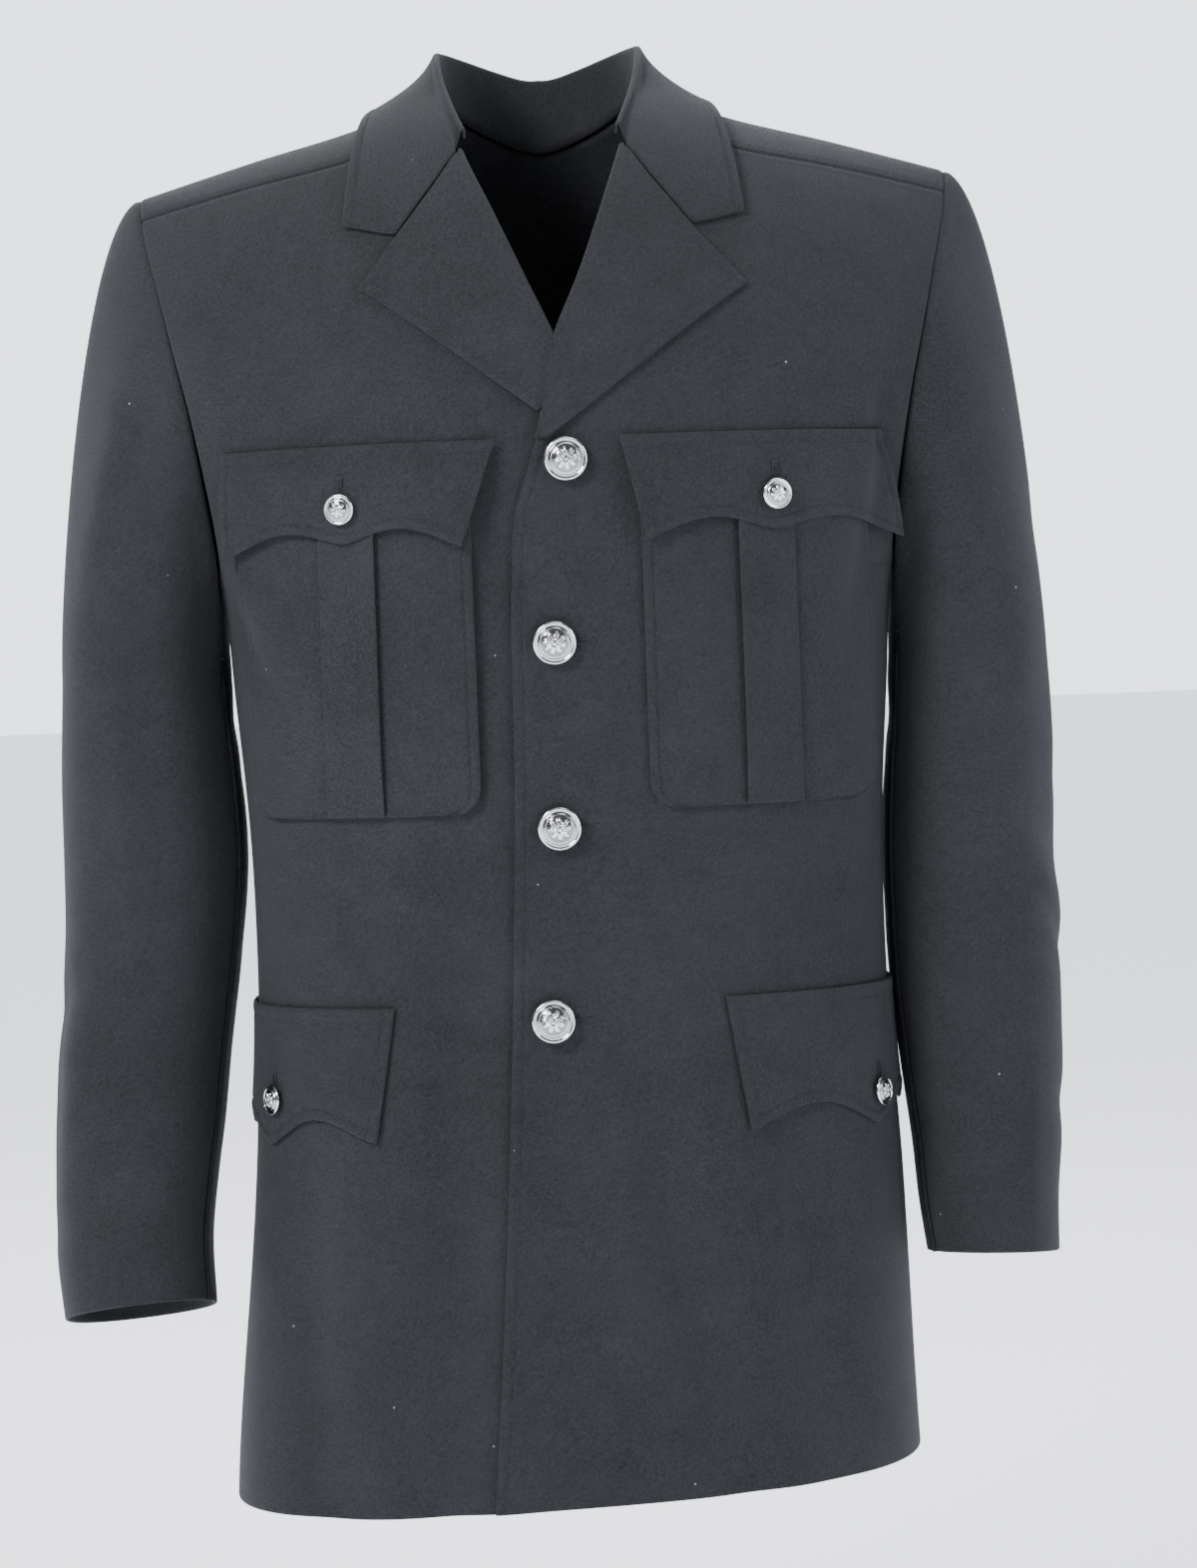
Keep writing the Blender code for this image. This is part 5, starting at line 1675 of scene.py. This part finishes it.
def hip_flap_points(side):
    down, across = flap_shares(HIP_FLAP_SIZE, 70, 20)
    walked, turns, ring = ring_table((HIP_FLAP_TOP + HIP_FLAP_CORNER_Z) / 2)
    ahead = turns < 0
    middle = np.interp(HIP_FLAP_MIDDLE_X[side], ring[ahead, 0], walked[ahead])
    levels = np.linspace(HIP_FLAP_TOP, HIP_FLAP_MIDDLE_Z - 2 * MM, 24)[::-1]
    tables = [ring_table(z) for z in levels]
    z = mix(HIP_FLAP_TOP, scallop(across, HIP_FLAP_CORNER_Z, HIP_FLAP_MIDDLE_Z, HIP_FLAP_SCALLOP), down)
    place = middle + mix(HIP_FLAP_HALF_TOP[side], HIP_FLAP_HALF_FOOT[side], down) * (2 * across - 1)
    by_level = np.array([np.interp(place, walked, turns) for walked, turns, _ in tables])
    level = np.clip(np.interp(z, levels, np.arange(len(levels))), 0, len(levels) - 1.001)
    below = level.astype(int)
    r, c = np.indices(z.shape)
    turn = mix(by_level[below, r, c], by_level[below + 1, r, c], level - below)
    x = half_width(z) * np.abs(np.cos(turn)) ** (2 / SQUARENESS)
    return np.where((turn < 0)[..., None], body_point(x, z, True), body_point(x, z, False)), down, across


def side_drape(sign, base):
    """The folds under a flap that reaches round to the back."""
    front = drape(sign * base[..., 0], base[..., 2], True)
    return np.where(base[..., 1] < 0, front, drape(sign * base[..., 0], base[..., 2], False))


def flap_piece(name, points, stand, lift_off):
    base, down, across = points
    sign = 1 if name.endswith("left") else -1
    reach = distances(base)
    low, high = edge_form(
        LAYER_GAP, LAYER_GAP + LAYER, reach,
        free=("west", "east", "south", "north"), rows=FLAP_STITCHES,
    )
    rise = stand * ease(down / 0.42) + lift_off * ease(down) ** 2 * (1 - 0.7 * np.sin(math.pi * across))
    rise = rise + side_drape(sign, base)
    normal = body_normal(base)
    flip = np.array([sign, 1, 1])
    outer = (base + normal * (high + rise)[..., None]) * flip
    inner = (base + normal * (low + rise)[..., None]) * flip
    rows = [stitch_row(*row_inside(outer, "south", 7 * MM, 1 * MM, 1 * MM))]
    for side in ("west", "east"):
        rows.append(stitch_row(*row_inside(outer, side, STITCH_INSET, 8 * MM, STITCH_INSET)))
    rows.append(stitch_row(*row_inside(outer, "north", STITCH_INSET, STITCH_INSET, STITCH_INSET)))
    threads = thread_piece(name, rows)
    return cloth_piece(name, [shell_faces(outer, inner)])


for wearer_side in ("left", "right"):
    chest_points, hip_points = chest_flap_points(wearer_side), hip_flap_points(wearer_side)
    flap_piece("chest_flap_" + wearer_side, chest_points, CHEST_FLAP_STAND, 1.5 * MM)
    flap_piece("hip_flap_" + wearer_side, hip_points, 0, 1.2 * MM)

# %% [markdown]
# ## Chrome buttons
# The real buttons carry a crest. A plain rosette of eight petals inside a beaded
# ring stands in its place. It is pressed into a domed cap, so it is raised in the
# dome itself: a fan of points round the middle, each lifted by petals and beads.

# %% Turned caps with a rosette
Turned = namedtuple("Turned", "radius height")
CAP_PROFILE = (
    Turned(0, 7.9),
    Turned(2.0, 7.75),
    Turned(4.5, 7.3),
    Turned(7.0, 6.3),
    Turned(8.6, 5.35),
    Turned(9.4, 4.8),
    Turned(10.0, 4.75),
    Turned(10.5, 5.25),
    Turned(11.0, 5.35),
    Turned(11.5, 5.0),
    Turned(11.9, 4.5),
    Turned(12.0, 4.0),
    Turned(11.8, 3.5),
    Turned(11.2, 3.0),
    Turned(9.0, 2.8),
    Turned(2.6, 2.6),
    Turned(2.4, 1.2),
    Turned(2.4, 0.0),
)
SMALL_SHARE = 0.7
PETALS = 8
BEADS = 40
BUTTON_TURNS = 120
BUTTON_RINGS = 70
FRONT_BUTTONS = (Edge(-188, 6.7), Edge(-287, -3.1), Edge(-388, -4.2), Edge(-493.5, -11.5))
CHEST_BUTTONS = {1: (117.5 * MM, -210 * MM), -1: (114 * MM, -210 * MM)}
HIP_BUTTONS = {1: (167 * MM, -544.5 * MM), -1: (167 * MM, -536.5 * MM)}


def cap_points(share):
    """Points of a cap, rings from the middle of the face round to the shank."""
    radius = np.array([row.radius for row in CAP_PROFILE])
    height = np.array([row.height for row in CAP_PROFILE])
    walked = np.concatenate([[0], np.cumsum(np.hypot(np.diff(radius), np.diff(height)))])
    at = np.concatenate([np.linspace(0.02, 14.5, BUTTON_RINGS), np.linspace(15, walked[-1], 14)])
    r, h = np.interp(at, walked, radius), np.interp(at, walked, height)
    for _ in range(2):
        h[1:-1] = (h[:-2] + 2 * h[1:-1] + h[2:]) / 4
    face = at < 10
    turn = np.linspace(0, 2 * math.pi, BUTTON_TURNS, endpoint=False)
    r2, turn2 = np.meshgrid(r, turn, indexing="ij")
    petal = np.abs(np.cos(turn2 * PETALS / 2))
    tip = 2.2 + 4.6 * petal**0.7
    relief = 0.55 * ease((tip - r2) / 0.9) * ease((r2 - 1.6) / 0.6)
    relief -= 0.22 * np.exp(-((np.sin(turn2 * PETALS / 2) * r2 / 0.5) ** 2)) * ease((r2 - 2) / 0.6) * (r2 < 7)
    relief += 0.5 * ease((1.5 - r2) / 0.5)
    bead = np.abs(np.cos(turn2 * BEADS / 2))
    relief += 0.38 * bead * np.exp(-(((r2 - 8.1) / 0.42) ** 2))
    relief = relief * face[:, None]
    x, y = r2 * np.cos(turn2), r2 * np.sin(turn2)
    z = h[:, None] + relief
    # Painted shade mask: the low face round the relief gets up to 0.75 of the dark painted shade.
    painted_hollow_shade = np.clip(1 - relief / 0.3, 0, 1) * (r2 < 9.3) * 0.75 * face[:, None]
    return np.stack([x, y, z], axis=-1) * MM * share, painted_hollow_shade


def cap_shell(share):
    grid, _ = cap_points(share)
    rings, turns = grid.shape[:2]
    r, c = np.meshgrid(np.arange(rings - 1), np.arange(turns), indexing="ij")
    a, b = (r * turns + c).ravel(), (r * turns + (c + 1) % turns).ravel()
    faces = np.stack([a, b, b + turns, a + turns], axis=1)
    return grid.reshape(-1, 3), faces


def close_ends(obj):
    """Fills the small holes in the middle of the face and under the shank."""
    work = bmesh.new()
    work.from_mesh(obj.data)
    bmesh.ops.holes_fill(work, edges=[e for e in work.edges if e.is_boundary], sides=0)
    bmesh.ops.recalc_face_normals(work, faces=work.faces)
    work.to_mesh(obj.data)
    work.free()
    obj.data.shade_smooth()


def button_piece(name, place, seat, sign, share, spin):
    obj = make_object(name + "_chrome", [cap_shell(share)], CHROME)
    close_ends(obj)
    # Stores the painted shade mask that darkens the low face of the chrome.
    painted_shade_attribute = obj.data.attributes.new("painted_hollow_shade", "FLOAT", "POINT")
    painted_shade_attribute.data.foreach_set("value", cap_points(share)[1].ravel())
    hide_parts(name)
    point, normal = cloth_point(np.array([place[0]]), np.array([place[1]]), np.array([seat]), sign)
    obj.location = point[0]
    obj.rotation_mode = "QUATERNION"
    turn = Vector(normal[0]).to_track_quat("Z", "Y")
    obj.rotation_quaternion = turn @ Matrix.Rotation(math.radians(spin), 3, "Z").to_quaternion()
    return obj


SPINS = (8, -14, 3, 24)
for number, (row, spin) in enumerate(zip(FRONT_BUTTONS, SPINS), 1):
    sign = 1 if row.x > 0 else -1
    button_piece(f"front_button_{number}", (abs(row.x) * MM, row.z * MM), SEAM_GAP, sign, 1, spin)
chest_seat = LAYER_GAP + CHEST_FLAP_STAND + LAYER + SEAM_GAP
hip_seat = LAYER_GAP + LAYER + SEAM_GAP
for wearer_side, sign in (("left", 1), ("right", -1)):
    button_piece("chest_button_" + wearer_side, CHEST_BUTTONS[sign], chest_seat, sign, SMALL_SHARE, 10 * sign)
    button_piece("hip_button_" + wearer_side, HIP_BUTTONS[sign], hip_seat, sign, SMALL_SHARE, -20 * sign)
print("8 buttons with", PETALS, "petals and", BEADS, "beads each")

# %% [markdown]
# ## Buttonholes
# A tailored buttonhole is a slit whose edges are closed by a dense row of thread,
# with an eye at the button's end. Bars laid side by side across the slit's outline
# give its raised rim, and the slit stays dark between them.

# %% Worked buttonholes
HOLE_HALF = 10 * MM
HOLE_RIM = 1.5 * MM
BAR_PITCH = 0.62 * MM


def hole_outline(length):
    """Places round a slit with round ends, and the direction out of the slit at each."""
    straight = length / 2
    count = max(4, int(length / BAR_PITCH))
    s = np.linspace(-straight, straight, count)
    turns = np.linspace(0, math.pi, 9)[1:-1]
    upper = np.stack([s, np.full(count, HOLE_RIM / 2)], axis=1)
    lower = np.stack([s[::-1], np.full(count, -HOLE_RIM / 2)], axis=1)
    right = np.stack([straight + np.sin(turns) * HOLE_RIM / 2, np.cos(turns) * HOLE_RIM / 2], axis=1)
    left = np.stack([-straight - np.sin(turns) * HOLE_RIM / 2, -np.cos(turns) * HOLE_RIM / 2], axis=1)
    outline = np.concatenate([upper, right, lower, left])
    out = np.concatenate([
        np.tile([0, 1.0], (count, 1)), np.stack([np.sin(turns), np.cos(turns)], axis=1),
        np.tile([0, -1.0], (count, 1)), np.stack([-np.sin(turns), -np.cos(turns)], axis=1),
    ])
    return outline, out


def buttonhole(x, z, height, angle, length=2 * HOLE_HALF):
    """Thread bars of one buttonhole. x counts to the wearer's left."""
    outline, out = hole_outline(length)
    cos, sin = math.cos(math.radians(angle)), math.sin(math.radians(angle))
    turn = np.array([[cos, -sin], [sin, cos]])
    outline, out = outline @ turn.T, out @ turn.T
    sign = 1 if x >= 0 else -1
    here, there = outline + [x, z], outline + out * 0.5 * MM + [x, z]
    heights = np.full(len(outline), height)
    start, normals = cloth_point(sign * here[:, 0], here[:, 1], heights, sign)
    end, _ = cloth_point(sign * there[:, 0], there[:, 1], heights, sign)
    return bars(start, end - start, normals, 1.7 * MM, 0.34 * MM)


holes = [buttonhole((row.x + 11) * MM, row.z * MM, 0.3 * MM, 0) for row in FRONT_BUTTONS[1:]]
front_holes = make_object("front_buttonholes_thread", holes, THREAD)
flap_holes = []
for sign in (1, -1):
    x, z = CHEST_BUTTONS[sign]
    flap_holes.append(buttonhole(sign * x, z + 9 * MM, chest_seat + 0.2 * MM, 90, 15 * MM))
    x, z = HIP_BUTTONS[sign]
    flap_holes.append(buttonhole(sign * x, z + 7 * MM, hip_seat + 0.2 * MM, 90, 15 * MM))
pocket_holes = make_object("flap_buttonholes_thread", flap_holes, THREAD)
print("buttonholes:", len(holes) + len(flap_holes))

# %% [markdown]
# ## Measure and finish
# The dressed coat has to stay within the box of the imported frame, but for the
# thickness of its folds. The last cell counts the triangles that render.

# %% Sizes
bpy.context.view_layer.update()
triangles = sum(len(f.vertices) - 2 for o in bpy.data.objects if o.type == "MESH" and not o.hide_render
                for f in o.data.polygons)
print("triangles", triangles)
